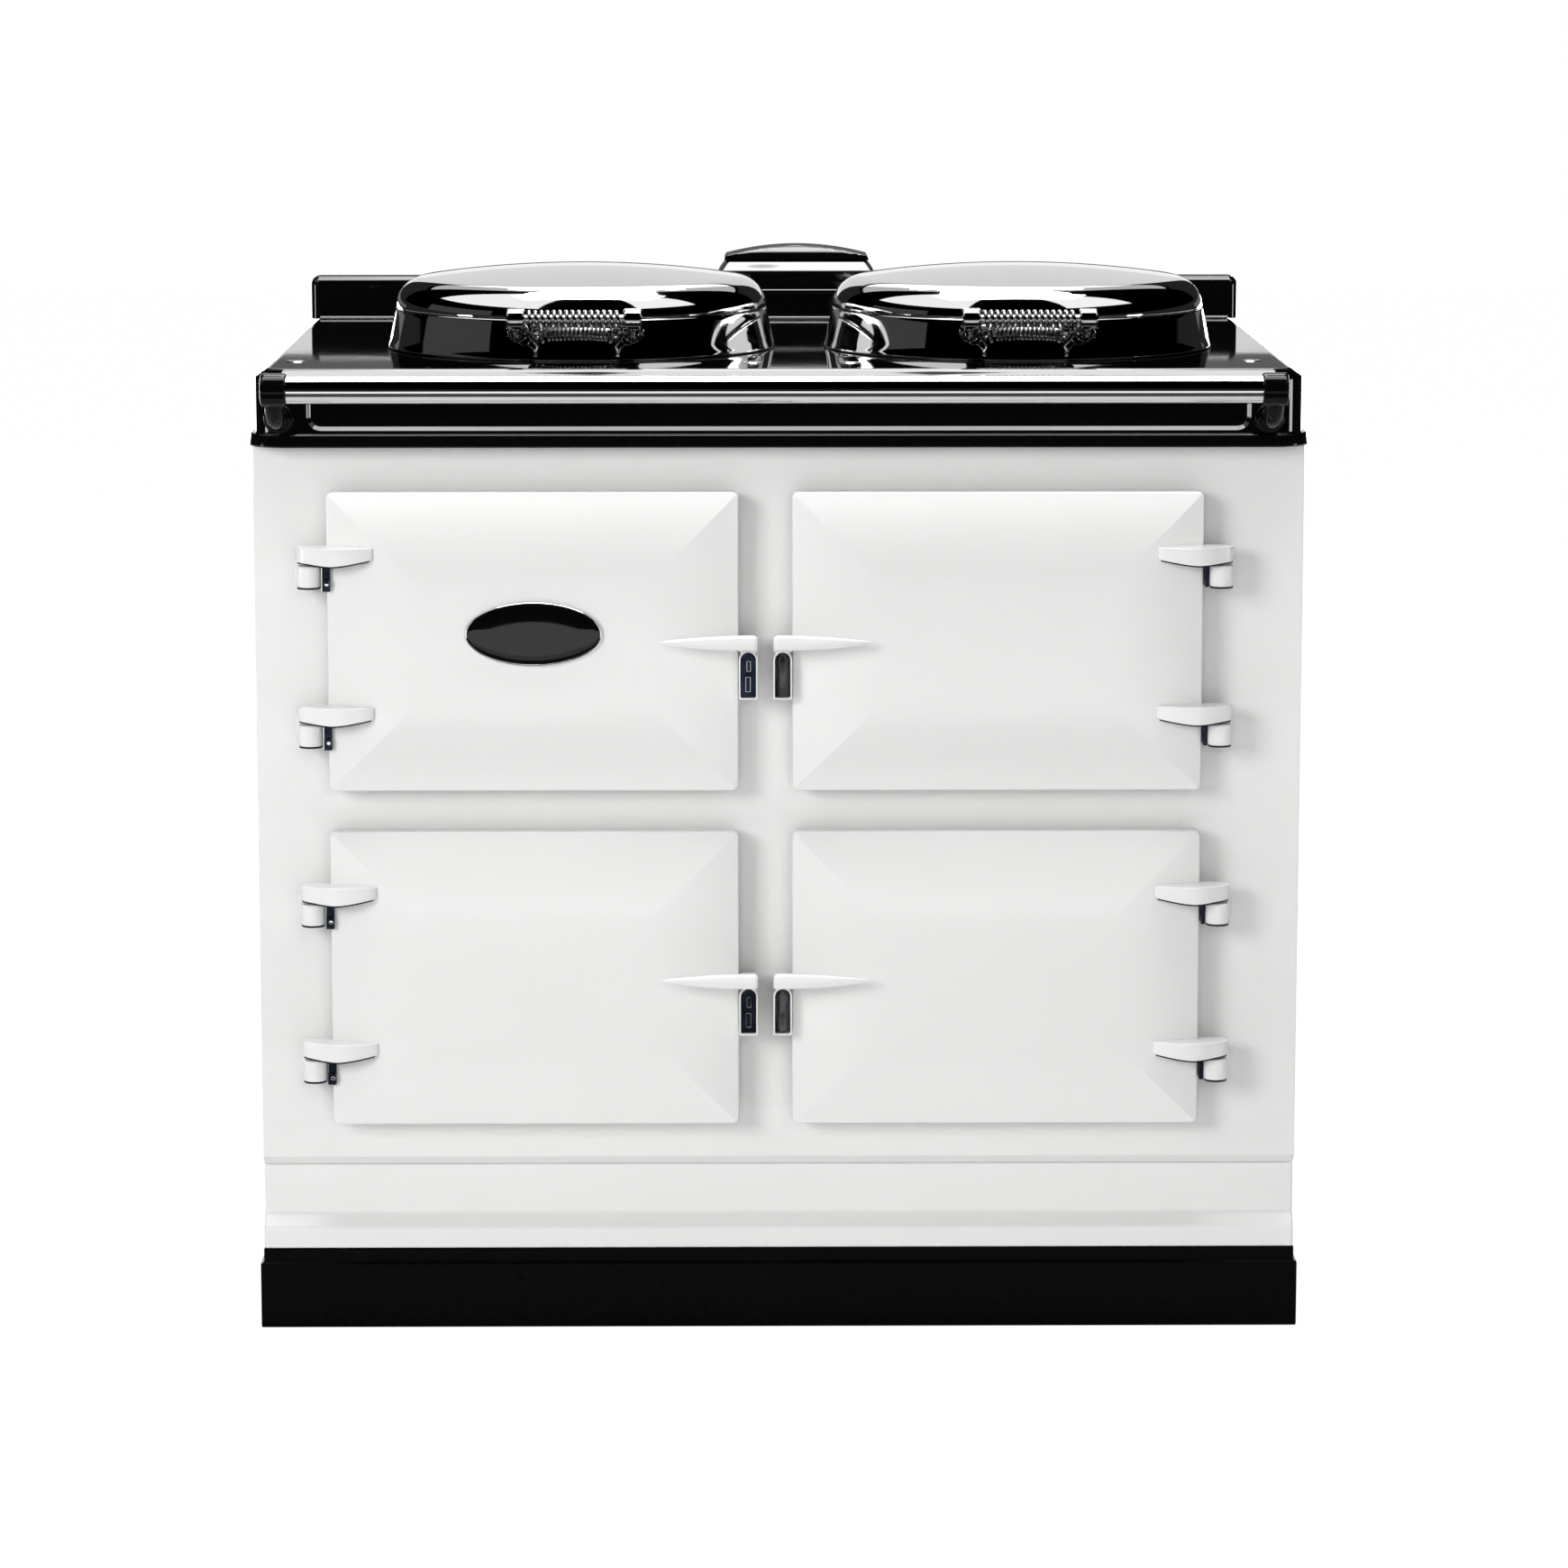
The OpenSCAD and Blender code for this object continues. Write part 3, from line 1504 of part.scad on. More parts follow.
module cable_gland() {
    body_r = gland_bore_r + gland_wall;
    length = 24;
    inside = 10;
    color(STEEL)
        from_face()
            translate([gland_x, 0, gland_z])
                difference() {
                    union() {
                        translate([0, sheet_rear_d - inside, 0])
                            rod_y(body_r, length);
                        translate([0, sheet_rear_d, 0])
                            rod_y(body_r + 5, 4);
                        translate([0, sheet_rear_d - sheet_t - 5, 0])
                            rotate([-90, 0, 0])
                                cylinder(r = body_r + 5, h = 5, $fn = 6);
                    }
                    translate([0, sheet_rear_d - inside - over, 0])
                        rod_y(gland_bore_r, length + 2 * over);
                }
}

plinth();
levelling_feet();
base_plate();
lower_front_panel();
front_panel();
side_panels();
back_panel();
top_plate();
top_plate_plugs();
rear_upstand();
flue_chamber();
flue_cap();
hand_rail();
rail_brackets();
hotplates();
oven(1);  // roasting_oven
oven(2);  // baking_oven
oven(3);  // simmering_oven
oven_shelves();
heating_elements();
control_housing();
thermostat_knob();
insulation_slabs();
hinge_blocks();
hinge_pins();
strikers();
door_seals();
lid_hinge_brackets();
cable_gland();
door_badge();
for (i = [0 : 3]) {
    door_casting(i);
    door_liner(i);
    door_insulation(i);
    door_handle(i);
    door_latch(i);
}
for (i = [0, 1]) {
    lid_dome(i);
    lid_base(i);
    lid_handle(i);
    lid_coil_grip(i);
    lid_hinge_arm(i);
}
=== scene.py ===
import math

import bmesh
import bpy
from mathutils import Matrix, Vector
from mathutils.geometry import tessellate_polygon

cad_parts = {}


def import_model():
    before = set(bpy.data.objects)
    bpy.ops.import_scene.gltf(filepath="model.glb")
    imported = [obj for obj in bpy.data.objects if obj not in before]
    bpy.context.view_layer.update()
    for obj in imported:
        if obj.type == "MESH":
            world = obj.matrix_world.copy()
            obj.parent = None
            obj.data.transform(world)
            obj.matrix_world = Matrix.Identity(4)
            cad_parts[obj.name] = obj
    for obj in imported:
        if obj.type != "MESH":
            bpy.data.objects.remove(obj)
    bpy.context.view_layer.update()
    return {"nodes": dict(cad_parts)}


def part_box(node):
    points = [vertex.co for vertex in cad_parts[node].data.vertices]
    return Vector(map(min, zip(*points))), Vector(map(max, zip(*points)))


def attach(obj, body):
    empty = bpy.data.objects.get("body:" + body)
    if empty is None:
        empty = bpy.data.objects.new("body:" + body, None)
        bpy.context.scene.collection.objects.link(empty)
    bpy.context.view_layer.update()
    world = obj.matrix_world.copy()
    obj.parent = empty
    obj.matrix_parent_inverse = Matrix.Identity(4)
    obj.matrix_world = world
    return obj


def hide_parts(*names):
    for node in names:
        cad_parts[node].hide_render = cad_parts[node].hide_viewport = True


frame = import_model()

# Sizes are in millimetres as in the CAD. Depths (d) run backward from the front panel's face, z runs up.
MM = 0.001
JOIN = 0.002 * MM  # points nearer than this are one point
FACE_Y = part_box("front_panel")[0].y
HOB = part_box("rear_upstand")[0].z / MM  # height of the hob, where the upstand begins
WHITE = (0.815, 0.815, 0.808)


# ---- mesh helpers ----

def to_row(point):
    """A point in metres in the shared frame."""
    x, d, z = point
    return (x * MM, FACE_Y + d * MM, z * MM)


def make(name, verts, faces, material, body, slot, stands_for=(), crease=38):
    """A piece from points in millimetres, shaded smooth up to the crease angle."""
    mesh = bpy.data.meshes.new(name)
    mesh.from_pydata([to_row(v) for v in verts], [], faces)
    mesh.validate()
    obj = bpy.data.objects.new(name, mesh)
    bpy.context.scene.collection.objects.link(obj)
    bpy.context.view_layer.objects.active = obj
    orient(mesh)
    mesh.polygons.foreach_set("use_smooth", [True] * len(mesh.polygons))
    mesh.set_sharp_from_angle(angle=math.radians(crease))
    even_normals(obj)
    mesh.materials.append(material)
    if stands_for:
        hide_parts(*stands_for)
    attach(obj, body)
    return obj


def even_normals(obj):
    """Normals weighted by area, so that flat faces stay flat beside rounded edges."""
    weighted = obj.modifiers.new("even_normals", "WEIGHTED_NORMAL")
    weighted.keep_sharp = True


def orient(mesh):
    """Joins points that lie together and turns every shell's faces outward."""
    bm = bmesh.new()
    bm.from_mesh(mesh)
    bmesh.ops.remove_doubles(bm, verts=bm.verts, dist=JOIN)
    bmesh.ops.recalc_face_normals(bm, faces=bm.faces)
    bm.to_mesh(mesh)
    bm.free()


class Form:
    """Points and faces of one piece, gathered from several closed shells."""

    def __init__(self):
        self.verts = []
        self.faces = []

    def add(self, verts, faces):
        base = len(self.verts)
        self.verts += [tuple(v) for v in verts]
        self.faces += [tuple(base + i for i in face) for face in faces]
        return self

    def loft(self, rings, caps=(True, True), closed=True):
        """Faces between rings that have the same number of points."""
        n = len(rings[0])
        faces = []
        for r in range(len(rings) - 1):
            for i in range(n if closed else n - 1):
                j = (i + 1) % n
                faces.append((r * n + i, r * n + j, (r + 1) * n + j, (r + 1) * n + i))
        if caps[0]:
            faces.append(tuple(range(n)))
        if caps[1]:
            faces.append(tuple((len(rings) - 1) * n + i for i in range(n)))
        return self.add([p for ring in rings for p in ring], faces)

    def moved(self, place):
        self.verts = [place(v) for v in self.verts]
        return self

    def make(self, name, *args, **kwargs):
        return make(name, self.verts, self.faces, *args, **kwargs)


def circle(r, n):
    """Points round a circle, from the side of the first axis."""
    return [(r * math.cos(2 * math.pi * i / n), r * math.sin(2 * math.pi * i / n)) for i in range(n)]


def quarter_turn(n):
    """The angles of a quarter turn in n steps."""
    return [math.pi / 2 * k / n for k in range(n + 1)]


def rounded_rect(w, h, r, steps=5):
    """Points round a rectangle with round corners, centred on 0, 0."""
    r = max(min(r, w / 2 - 1e-3, h / 2 - 1e-3), 1e-3)
    points = []
    for quarter, (sx, sy) in enumerate(((1, 1), (-1, 1), (-1, -1), (1, -1))):
        for k in range(steps + 1):
            a = math.pi / 2 * (quarter + k / steps)
            points.append((sx * (w / 2 - r) + r * math.cos(a), sy * (h / 2 - r) + r * math.sin(a)))
    return points


def slab(w, h, r, profile, steps=5, least=0.6):
    """Rings of a rounded rectangle for a profile of (inset, level): (u, v, level) points."""
    return [
        [(u, v, level) for u, v in rounded_rect(w - 2 * inset, h - 2 * inset, max(r - inset, least), steps)]
        for inset, level in profile
    ]


def lathe(profile, n=96):
    """Rings for a profile of (radius, height) round the z axis."""
    return [[(r * c, r * s, z) for c, s in circle(1, n)] for r, z in profile]


def arc(cx, cy, r, start, end, n):
    """Points on an arc, angles in degrees."""
    turns = [math.radians(start + (end - start) * k / n) for k in range(n + 1)]
    return [(cx + r * math.cos(a), cy + r * math.sin(a)) for a in turns]


def tube(path, r, n=12):
    """Rings of a round tube along a path, turned without twist."""
    points = [Vector(p) for p in path]
    rings = []
    side = None
    for i, point in enumerate(points):
        ahead = (points[min(i + 1, len(points) - 1)] - points[max(i - 1, 0)]).normalized()
        if side is None:
            side = ahead.orthogonal().normalized()
        side = (side - ahead * side.dot(ahead)).normalized()
        up = ahead.cross(side)
        rings.append([tuple(point + side * u + up * v) for u, v in circle(r, n)])
    return rings


def rod(axis, start, end, r, edge=0.8, n=48):
    """Rings of a round bar along x, d or z (axis 0, 1, 2) between two points, with rounded end edges."""
    a, b = start[axis], end[axis]
    s = 1 if b > a else -1
    marks = [(a, r - edge), (a + s * edge * 0.3, r - edge * 0.3), (a + s * edge, r),
             (b - s * edge, r), (b - s * edge * 0.3, r - edge * 0.3), (b, r - edge)]
    side, up = (axis + 1) % 3, (axis + 2) % 3
    rings = []
    for along, radius in marks:
        ring = []
        for u, v in circle(radius, n):
            placed = {axis: along, side: start[side] + u, up: start[up] + v}
            ring.append((placed[0], placed[1], placed[2]))
        rings.append(ring)
    return rings


def round_box(low, high, r=2.0, steps=3):
    """Rings of a box between two corners with all its edges rounded."""
    w, h = high[0] - low[0], high[1] - low[1]
    cx, cy = (low[0] + high[0]) / 2, (low[1] + high[1]) / 2
    r = min(r, w / 2.01, h / 2.01, (high[2] - low[2]) / 2.01)
    turn = [(r - r * math.sin(a), r - r * math.cos(a)) for a in quarter_turn(steps)]
    profile = [(inset, low[2] + up) for inset, up in turn]
    profile += [(inset, high[2] - up) for inset, up in reversed(turn)]
    return [[(cx + u, cy + v, z) for u, v, z in ring] for ring in slab(w, h, r, profile, steps, 0.05)]


def fuse(obj, voxel, passes=6):
    """Melts a piece's overlapping shells into one casting with small fillets."""
    obj.modifiers.clear()
    remesh = obj.modifiers.new("fuse", "REMESH")
    remesh.mode = "VOXEL"
    remesh.voxel_size = voxel * MM
    remesh.use_smooth_shade = True
    soften = obj.modifiers.new("soften", "SMOOTH")
    soften.factor = 0.5
    soften.iterations = passes
    return obj


# ---- materials ----

def add_node(tree, kind, **inputs):
    """A new shader node with its inputs set. An underscore stands for a space."""
    node = tree.nodes.new("ShaderNode" + kind)
    set_inputs(node, inputs)
    return node


def set_inputs(node, inputs):
    for key, value in inputs.items():
        node.inputs[key.replace("_", " ")].default_value = value


class Nodes:
    """Short ways to write a material's node tree."""

    def __init__(self, name, **values):
        self.material = bpy.data.materials.new(name)
        self.material.use_nodes = True
        self.tree = self.material.node_tree
        self.shader = self.tree.nodes["Principled BSDF"]
        self.coords = add_node(self.tree, "TexCoord").outputs["Object"]
        self.relief = None
        set_inputs(self.shader, values)

    def link(self, source, target):
        self.tree.links.new(source, target)

    def pattern(self, kind, output, stretch=None, **inputs):
        """A texture laid over the object's own coordinates, which may be stretched."""
        coords = self.coords
        if stretch:
            mapping = add_node(self.tree, "Mapping", Scale=stretch)
            self.link(coords, mapping.inputs["Vector"])
            coords = mapping.outputs["Vector"]
        node = add_node(self.tree, kind, **inputs)
        self.link(coords, node.inputs["Vector"])
        return node.outputs[output]

    def noise(self, scale, detail=3.0, rough=0.5, stretch=None):
        return self.pattern("TexNoise", "Fac", stretch, Scale=scale, Detail=detail, Roughness=rough)

    def ramp(self, source, *stops):
        node = add_node(self.tree, "ValToRGB")
        elements = node.color_ramp.elements
        while len(elements) < len(stops):
            elements.new(0.5)
        for element, (at, value) in zip(elements, stops):
            element.position = at
            element.color = (*value, 1) if isinstance(value, tuple) else (value, value, value, 1)
        self.link(source, node.inputs["Fac"])
        return node.outputs["Color"]

    def bump(self, source, strength, distance):
        """Adds relief to what the shader has already."""
        node = add_node(self.tree, "Bump", Strength=strength, Distance=distance)
        self.link(source, node.inputs["Height"])
        if self.relief:
            self.link(self.relief, node.inputs["Normal"])
        self.relief = node.outputs["Normal"]
        self.link(self.relief, self.shader.inputs["Normal"])

    def colour(self, source, *stops):
        self.link(self.ramp(source, *stops), self.shader.inputs["Base Color"])

    def rough(self, source, *stops):
        self.link(self.ramp(source, *stops), self.shader.inputs["Roughness"])


def white_enamel():
    m = Nodes("white_enamel_glaze", Coat_Weight=0.35, Coat_Roughness=0.08)
    m.colour(m.noise(3.5, 4), (0.3, tuple(c * 0.985 for c in WHITE)), (0.7, WHITE))
    m.rough(m.noise(9, 3), (0.3, 0.20), (0.7, 0.27))
    m.bump(m.noise(55, 2, 0.4), 0.10, 0.0006)
    m.bump(m.noise(420, 2), 0.05, 0.0002)
    return m.material


def black_enamel(name="black_enamel_glaze", rough=0.03, shine=0.42):
    m = Nodes(name, Specular_IOR_Level=shine)
    m.colour(m.noise(160, 3), (0.35, (0.0012, 0.0012, 0.0013)), (0.75, (0.0022, 0.0022, 0.0024)))
    m.rough(m.noise(14, 4), (0.3, rough), (0.7, rough + 0.025))
    m.bump(m.noise(30, 1, 0.3), 0.05, 0.0006)
    m.bump(m.noise(500, 2), 0.012, 0.0002)
    return m.material


def black_paint():
    m = Nodes("black_paint_satin", Specular_IOR_Level=0.04)
    m.colour(m.noise(120, 4), (0.3, (0.0010, 0.0010, 0.0010)), (0.8, (0.0020, 0.0020, 0.0021)))
    m.rough(m.noise(30, 4), (0.3, 0.26), (0.7, 0.34))
    m.bump(m.noise(650, 3), 0.14, 0.0003)
    return m.material


def chrome(name="chrome_plate", tone=0.66, rough=0.03):
    m = Nodes(name, Metallic=1.0)
    m.colour(m.noise(6, 4), (0.3, (tone, tone, tone * 0.995)), (0.7, tone + 0.03))
    m.rough(m.noise(24, 5, 0.65), (0.35, rough), (0.8, rough + 0.045))
    m.bump(m.noise(30, 1), 0.025, 0.0004)
    return m.material


def steel(name="steel_sheet", tone=0.45, rough=0.32, brushed=(1, 1, 30)):
    m = Nodes(name, Metallic=1.0)
    grain = m.noise(90, 4, 0.6, stretch=brushed)
    m.colour(m.noise(5, 5), (0.3, tone), (0.75, tone * 1.18))
    m.rough(grain, (0.3, rough), (0.75, rough + 0.16))
    m.bump(grain, 0.10, 0.0003)
    return m.material


def galvanised():
    m = Nodes("galvanised_sheet", Metallic=1.0)
    spangle = m.noise(38, 6, 0.7)
    m.colour(spangle, (0.3, 0.37), (0.7, 0.48))
    m.rough(m.noise(20, 4), (0.3, 0.34), (0.75, 0.5))
    m.bump(spangle, 0.05, 0.0004)
    return m.material


def dark_steel(name="blued_steel", low=(0.012, 0.016, 0.028), high=(0.032, 0.040, 0.062)):
    m = Nodes(name, Metallic=1.0)
    m.colour(m.noise(90, 4), (0.3, low), (0.75, high))
    m.rough(m.noise(60, 3), (0.3, 0.22), (0.7, 0.34))
    m.bump(m.noise(300, 3), 0.12, 0.0003)
    return m.material


def bare_iron():
    m = Nodes("cast_iron_grain", Metallic=0.55, Specular_IOR_Level=0.4)
    m.colour(m.noise(26, 6, 0.6), (0.3, (0.030, 0.029, 0.028)), (0.75, (0.075, 0.073, 0.070)))
    m.rough(m.noise(80, 4), (0.3, 0.52), (0.7, 0.72))
    m.bump(m.pattern("TexVoronoi", "Distance", Scale=520), 0.35, 0.0005)
    m.bump(m.noise(130, 5), 0.25, 0.0006)
    return m.material


def machined_iron():
    """The hotplates' ground tops, with heat tints and a fine grain."""
    m = Nodes("ground_iron_top", Metallic=0.85)
    m.colour(m.noise(9, 5), (0.3, (0.10, 0.098, 0.095)), (0.75, (0.19, 0.185, 0.18)))
    m.rough(m.noise(40, 4), (0.3, 0.30), (0.7, 0.46))
    m.bump(m.noise(350, 3), 0.15, 0.0003)
    return m.material


def quilt():
    m = Nodes("mineral_quilt", Roughness=0.95, Sheen_Weight=0.25)
    fibres = m.noise(240, 5, 0.7, stretch=(1, 1, 0.25))
    m.colour(m.noise(18, 5), (0.3, (0.55, 0.51, 0.40)), (0.75, (0.72, 0.69, 0.58)))
    m.bump(m.noise(34, 3), 0.5, 0.003)
    m.bump(fibres, 0.6, 0.0008)
    return m.material


def rope_seal():
    m = Nodes("braided_seal", Roughness=0.9)
    braid = m.pattern("TexWave", "Fac", Scale=190, Distortion=1.5)
    braid.node.bands_direction = "DIAGONAL"
    m.colour(braid, (0.2, (0.20, 0.19, 0.17)), (0.8, (0.45, 0.43, 0.39)))
    m.bump(braid, 0.8, 0.0008)
    return m.material


def black_plastic():
    m = Nodes("moulded_black_plastic")
    m.colour(m.noise(60, 3), (0.3, 0.012), (0.7, 0.020))
    m.rough(m.noise(45, 3), (0.3, 0.34), (0.7, 0.44))
    m.bump(m.noise(900, 2), 0.12, 0.0002)
    return m.material


WHITE_ENAMEL = white_enamel()
BLACK_ENAMEL = black_enamel()
BRACKET_ENAMEL = black_enamel("black_enamel_bracket", 0.05, 0.12)
BLACK_PAINT = black_paint()
CHROME = chrome()
STEEL = steel()
ALUMINIUM = steel("aluminium_sheet", 0.62, 0.30, (30, 1, 1))
GALVANISED = galvanised()
DARK_STEEL = dark_steel()
GREY_STEEL = dark_steel("grey_steel", (0.10, 0.096, 0.108), (0.15, 0.143, 0.158))
# a darker copy of the chrome, whose low tone paints the dark reflections on the lid grips' brackets and coil
DARKENED_GRIP_CHROME = chrome("chrome_grip_darkened", 0.24, 0.05)
BARE_IRON = bare_iron()
MACHINED_IRON = machined_iron()
QUILT = quilt()
ROPE_SEAL = rope_seal()
BLACK_PLASTIC = black_plastic()

# ---- plain CAD nodes ----

CAD_FINISH = {
    WHITE_ENAMEL: ("front_panel", "lower_front_panel", "side_panels"),
    BLACK_PAINT: ("plinth",),
    GALVANISED: ("base_plate", "back_panel", "levelling_feet", "cable_gland"),
    BARE_IRON: ("roasting_oven", "simmering_oven", "baking_oven", "control_housing"),
    STEEL: ("oven_shelves", "hinge_pins", "strikers"),
    DARK_STEEL: ("heating_elements",),
    QUILT: ("insulation_slabs",),
    ROPE_SEAL: ("door_seals",),
    BLACK_ENAMEL: ("lid_hinge_brackets",),
}
DOORS = ("door_top_left", "door_top_right", "door_bottom_left", "door_bottom_right")
LIDS = ("lid_left", "lid_right")
BEVELS = {
    "plinth": 1.6, "front_panel": 1.4, "lower_front_panel": 2.2, "side_panels": 0.8, "base_plate": 0.5,
    "back_panel": 0.5, "lid_hinge_brackets": 1.2, "cable_gland": 0.6, "control_housing": 1.0,
    "roasting_oven": 1.0, "simmering_oven": 1.0, "baking_oven": 1.0
}


def soften_edges(obj, width):
    """A worn, glazed edge on a CAD node, as modifiers only."""
    weld = obj.modifiers.new("join_faces", "WELD")
    weld.merge_threshold = 0.01 * MM
    bevel = obj.modifiers.new("glazed_edges", "BEVEL")
    bevel.width = width * MM
    bevel.segments = 3
    bevel.limit_method = "ANGLE"
    bevel.angle_limit = math.radians(32)
    bevel.use_clamp_overlap = True
    even_normals(obj)


def finish_cad_nodes():
    """Materials and soft edges for the nodes that are shown as the CAD made them."""
    finishes = {node: material for material, names in CAD_FINISH.items() for node in names}
    for door in DOORS:
        finishes[door + "_liner"] = ALUMINIUM
        finishes[door + "_insulation"] = QUILT
    for node, material in finishes.items():
        obj = frame["nodes"][node]
        obj.data.materials.clear()
        obj.data.materials.append(material)
        if node in BEVELS:
            soften_edges(obj, BEVELS[node])


def hang(form, body, name, material, slot, node="", crease=38):
    """A piece of a door or lid, from a form given in that body's own place."""
    place = at_lid(body) if body in LIDS else at_door(body)
    stands_for = (body + "_" + node,) if node else ()
    return form.moved(place).make(body + "_" + name, material, body, slot, stands_for, crease)


# ---- doors ----

DOOR_W, DOOR_H, DOOR_CORNER, DOOR_EDGE = 382, 280, 6, 2.4
HINGE_EDGE = {"left": -420, "right": 394}
DOOR_Z = {"top": 523, "bottom": 204.5}
# how far the face stands in front of the panel, how far it falls to the door's edge, and over what width
CROWN, SAG, ROLL = 44, 14, 85
LUG_Z = (64.3, 213.3)
HINGE_OUT, HINGE_FRONT = 16.5, 33


def at_door(door):
    """Places a point given from the door's hinge edge and lower edge."""
    _, row, side = door.split("_")
    hand = 1 if side == "left" else -1
    return lambda p: (HINGE_EDGE[side] + hand * p[0], p[1], DOOR_Z[row] + p[2])


def cushion_fall(inset):
    """How far in front of the panel the door's face is, this far in from the door's edge."""
    if inset >= ROLL:
        return CROWN
    r = (ROLL * ROLL + SAG * SAG) / (2 * SAG)
    return CROWN - r + math.sqrt(r * r - (ROLL - inset) ** 2)


def door_cushion(door):
    """The door's casting, from inside its hollow back round the rim to the swelling face."""
    edge_d = DOOR_EDGE - cushion_fall(DOOR_EDGE)
    profile = [(15.5, -26), (15.5, -7), (15.5, -5), (4.0, -5), (3.2, -5.6), (3, -6.4), (3, -11.4), (2.4, -12),
               (0.8, -12), (0.2, -12.4), (0, -13.4), (0, edge_d)]
    profile += arc(DOOR_EDGE, edge_d, DOOR_EDGE, 180, 262, 6)[1:]
    insets = [DOOR_EDGE + (ROLL - DOOR_EDGE) * (k / 22) ** 1.15 for k in range(1, 23)]
    profile += [(inset, -cushion_fall(inset)) for inset in insets]
    cx, cz = DOOR_W / 2, DOOR_H / 2
    form = Form()
    form.loft([[(cx + u, d, cz + v) for u, v, d in ring]
               for ring in slab(DOOR_W, DOOR_H, DOOR_CORNER, profile, steps=6, least=0.9)])
    hang(form, door, "cushion", WHITE_ENAMEL, "white_enamel", "casting", crease=60)


def smooth_line(points, n=6):
    """A Catmull-Rom curve through open points."""
    p = [points[0]] + list(points) + [points[-1]]
    out = []
    for i in range(1, len(p) - 2):
        for t in (k / n for k in range(n)):
            point = []
            for a, b, c, e in zip(p[i - 1], p[i], p[i + 1], p[i + 2]):
                square, cube = 2 * a - 5 * b + 4 * c - e, 3 * b - a - 3 * c + e
                point.append(0.5 * ((2 * b) + (c - a) * t + square * t * t + cube * t ** 3))
            out.append(point)
    return out + [points[-1]]


# x, front d, back d, lower z and upper z of sections along a hinge arm, and the size of the dark strip under
# it that paints the arm's shadow line
LUG_SECTIONS = (
    (-27.6, -35, -31, 3.2, 16.6), (-26.6, -38.5, -27.5, 3.0, 16.9), (-22, -43.4, -24, 2.6, 17.0),
    (-14, -48.2, -22.5, 1.9, 17.0), (-5, -52.6, -22, 1.0, 17.0), (6, -55, -26, 0.3, 17.0),
    (18, -54.4, -26, 1.4, 17.0), (30, -51.2, -26, 3.2, 16.9), (39, -47, -26, 4.6, 16.8),
    (43.4, -43, -26, 5.6, 16.4)
)
LUG_ROUND, LUG_SHADE_DROP, SHADE_SINK = 1.1, 1.15, 0.5


def hinge_lugs(door):
    """Tapered arms that end in round knuckles over the hinge pins, each with a dark strip under it that
    paints the shadow line beneath the arm.
    """
    sections = smooth_line(LUG_SECTIONS, 4)
    form, shade_strips = Form(), Form()
    for z in LUG_Z:
        rings = []
        for x, front, back, low, high in sections:
            w, h = back - front, high - low
            rings.append([(x, (front + back) / 2 + u, z + (low + high) / 2 + v)
                          for u, v in rounded_rect(w, h, min(LUG_ROUND, w / 2.2, h / 2.2), 4)])
        form.loft(rings)
        rings = []
        for x, front, back, low, _ in sections[4:-3]:
            near, far, under, over = front + 0.7, back - 2, z + low - LUG_SHADE_DROP, z + low + SHADE_SINK
            rings.append([(x, near, under), (x, far, under), (x, far, over), (x, near, over)])
        shade_strips.loft(rings)
    hang(form, door, "hinge_lugs", WHITE_ENAMEL, "white_enamel", "casting", crease=50)
    # the dark steel strips are painted shadow: a dark line under each arm
    hang(shade_strips, door, "hinge_painted_shade", DARK_STEEL, "dark_steel")


def hinge_straps_and_shade(door):
    """Dark steel straps beside the hinge under each lug: on the right doors a thin strip that is painted
    shade in the gap between door and block; on the left doors a dark bracket with a bolt, partly a real part
    and partly painted shade in that gap.
    """
    form, bolts = Form(), Form()
    for z in LUG_Z:
        if door.endswith("right"):
            # on the right doors the strap is only painted shade: a dark line in the gap beside the block
            form.loft(round_box((-4.9, -35.2, z - 21.6), (-1.1, -12, z - 0.6), 0.8))
            continue
        form.loft(round_box((-4.4, -36.2, z - 25), (3.6, -12, z - 0.6), 1.2))
        form.loft(round_box((-1.6, -38.6, z - 23.5), (3.0, -35, z - 13), 1.0))
        bolts.loft(rod(1, (0.6, -35.8, z - 17.5), (0.6, -40.2, z - 17.5), 2.3, 0.6, 6))
        bolts.loft(round_box((-4.9, -37.4, z - 24.4), (-3.6, -33, z - 2), 0.5))
    hang(form, door, "hinge_straps_and_shade", DARK_STEEL, "dark_steel")
    if bolts.verts:
        hang(bolts, door, "hinge_bolts", CHROME, "steel")


BLOCK_GAP, BLOCK_H, BLOCK_R = 0.35, 20.6, 11.4
# size of the dark disc and strip under each hinge block, which paint its shadow line
SHADE_DISC_R, SHADE_DROP, SHADE_RISE = 10.9, 1.3, 0.4


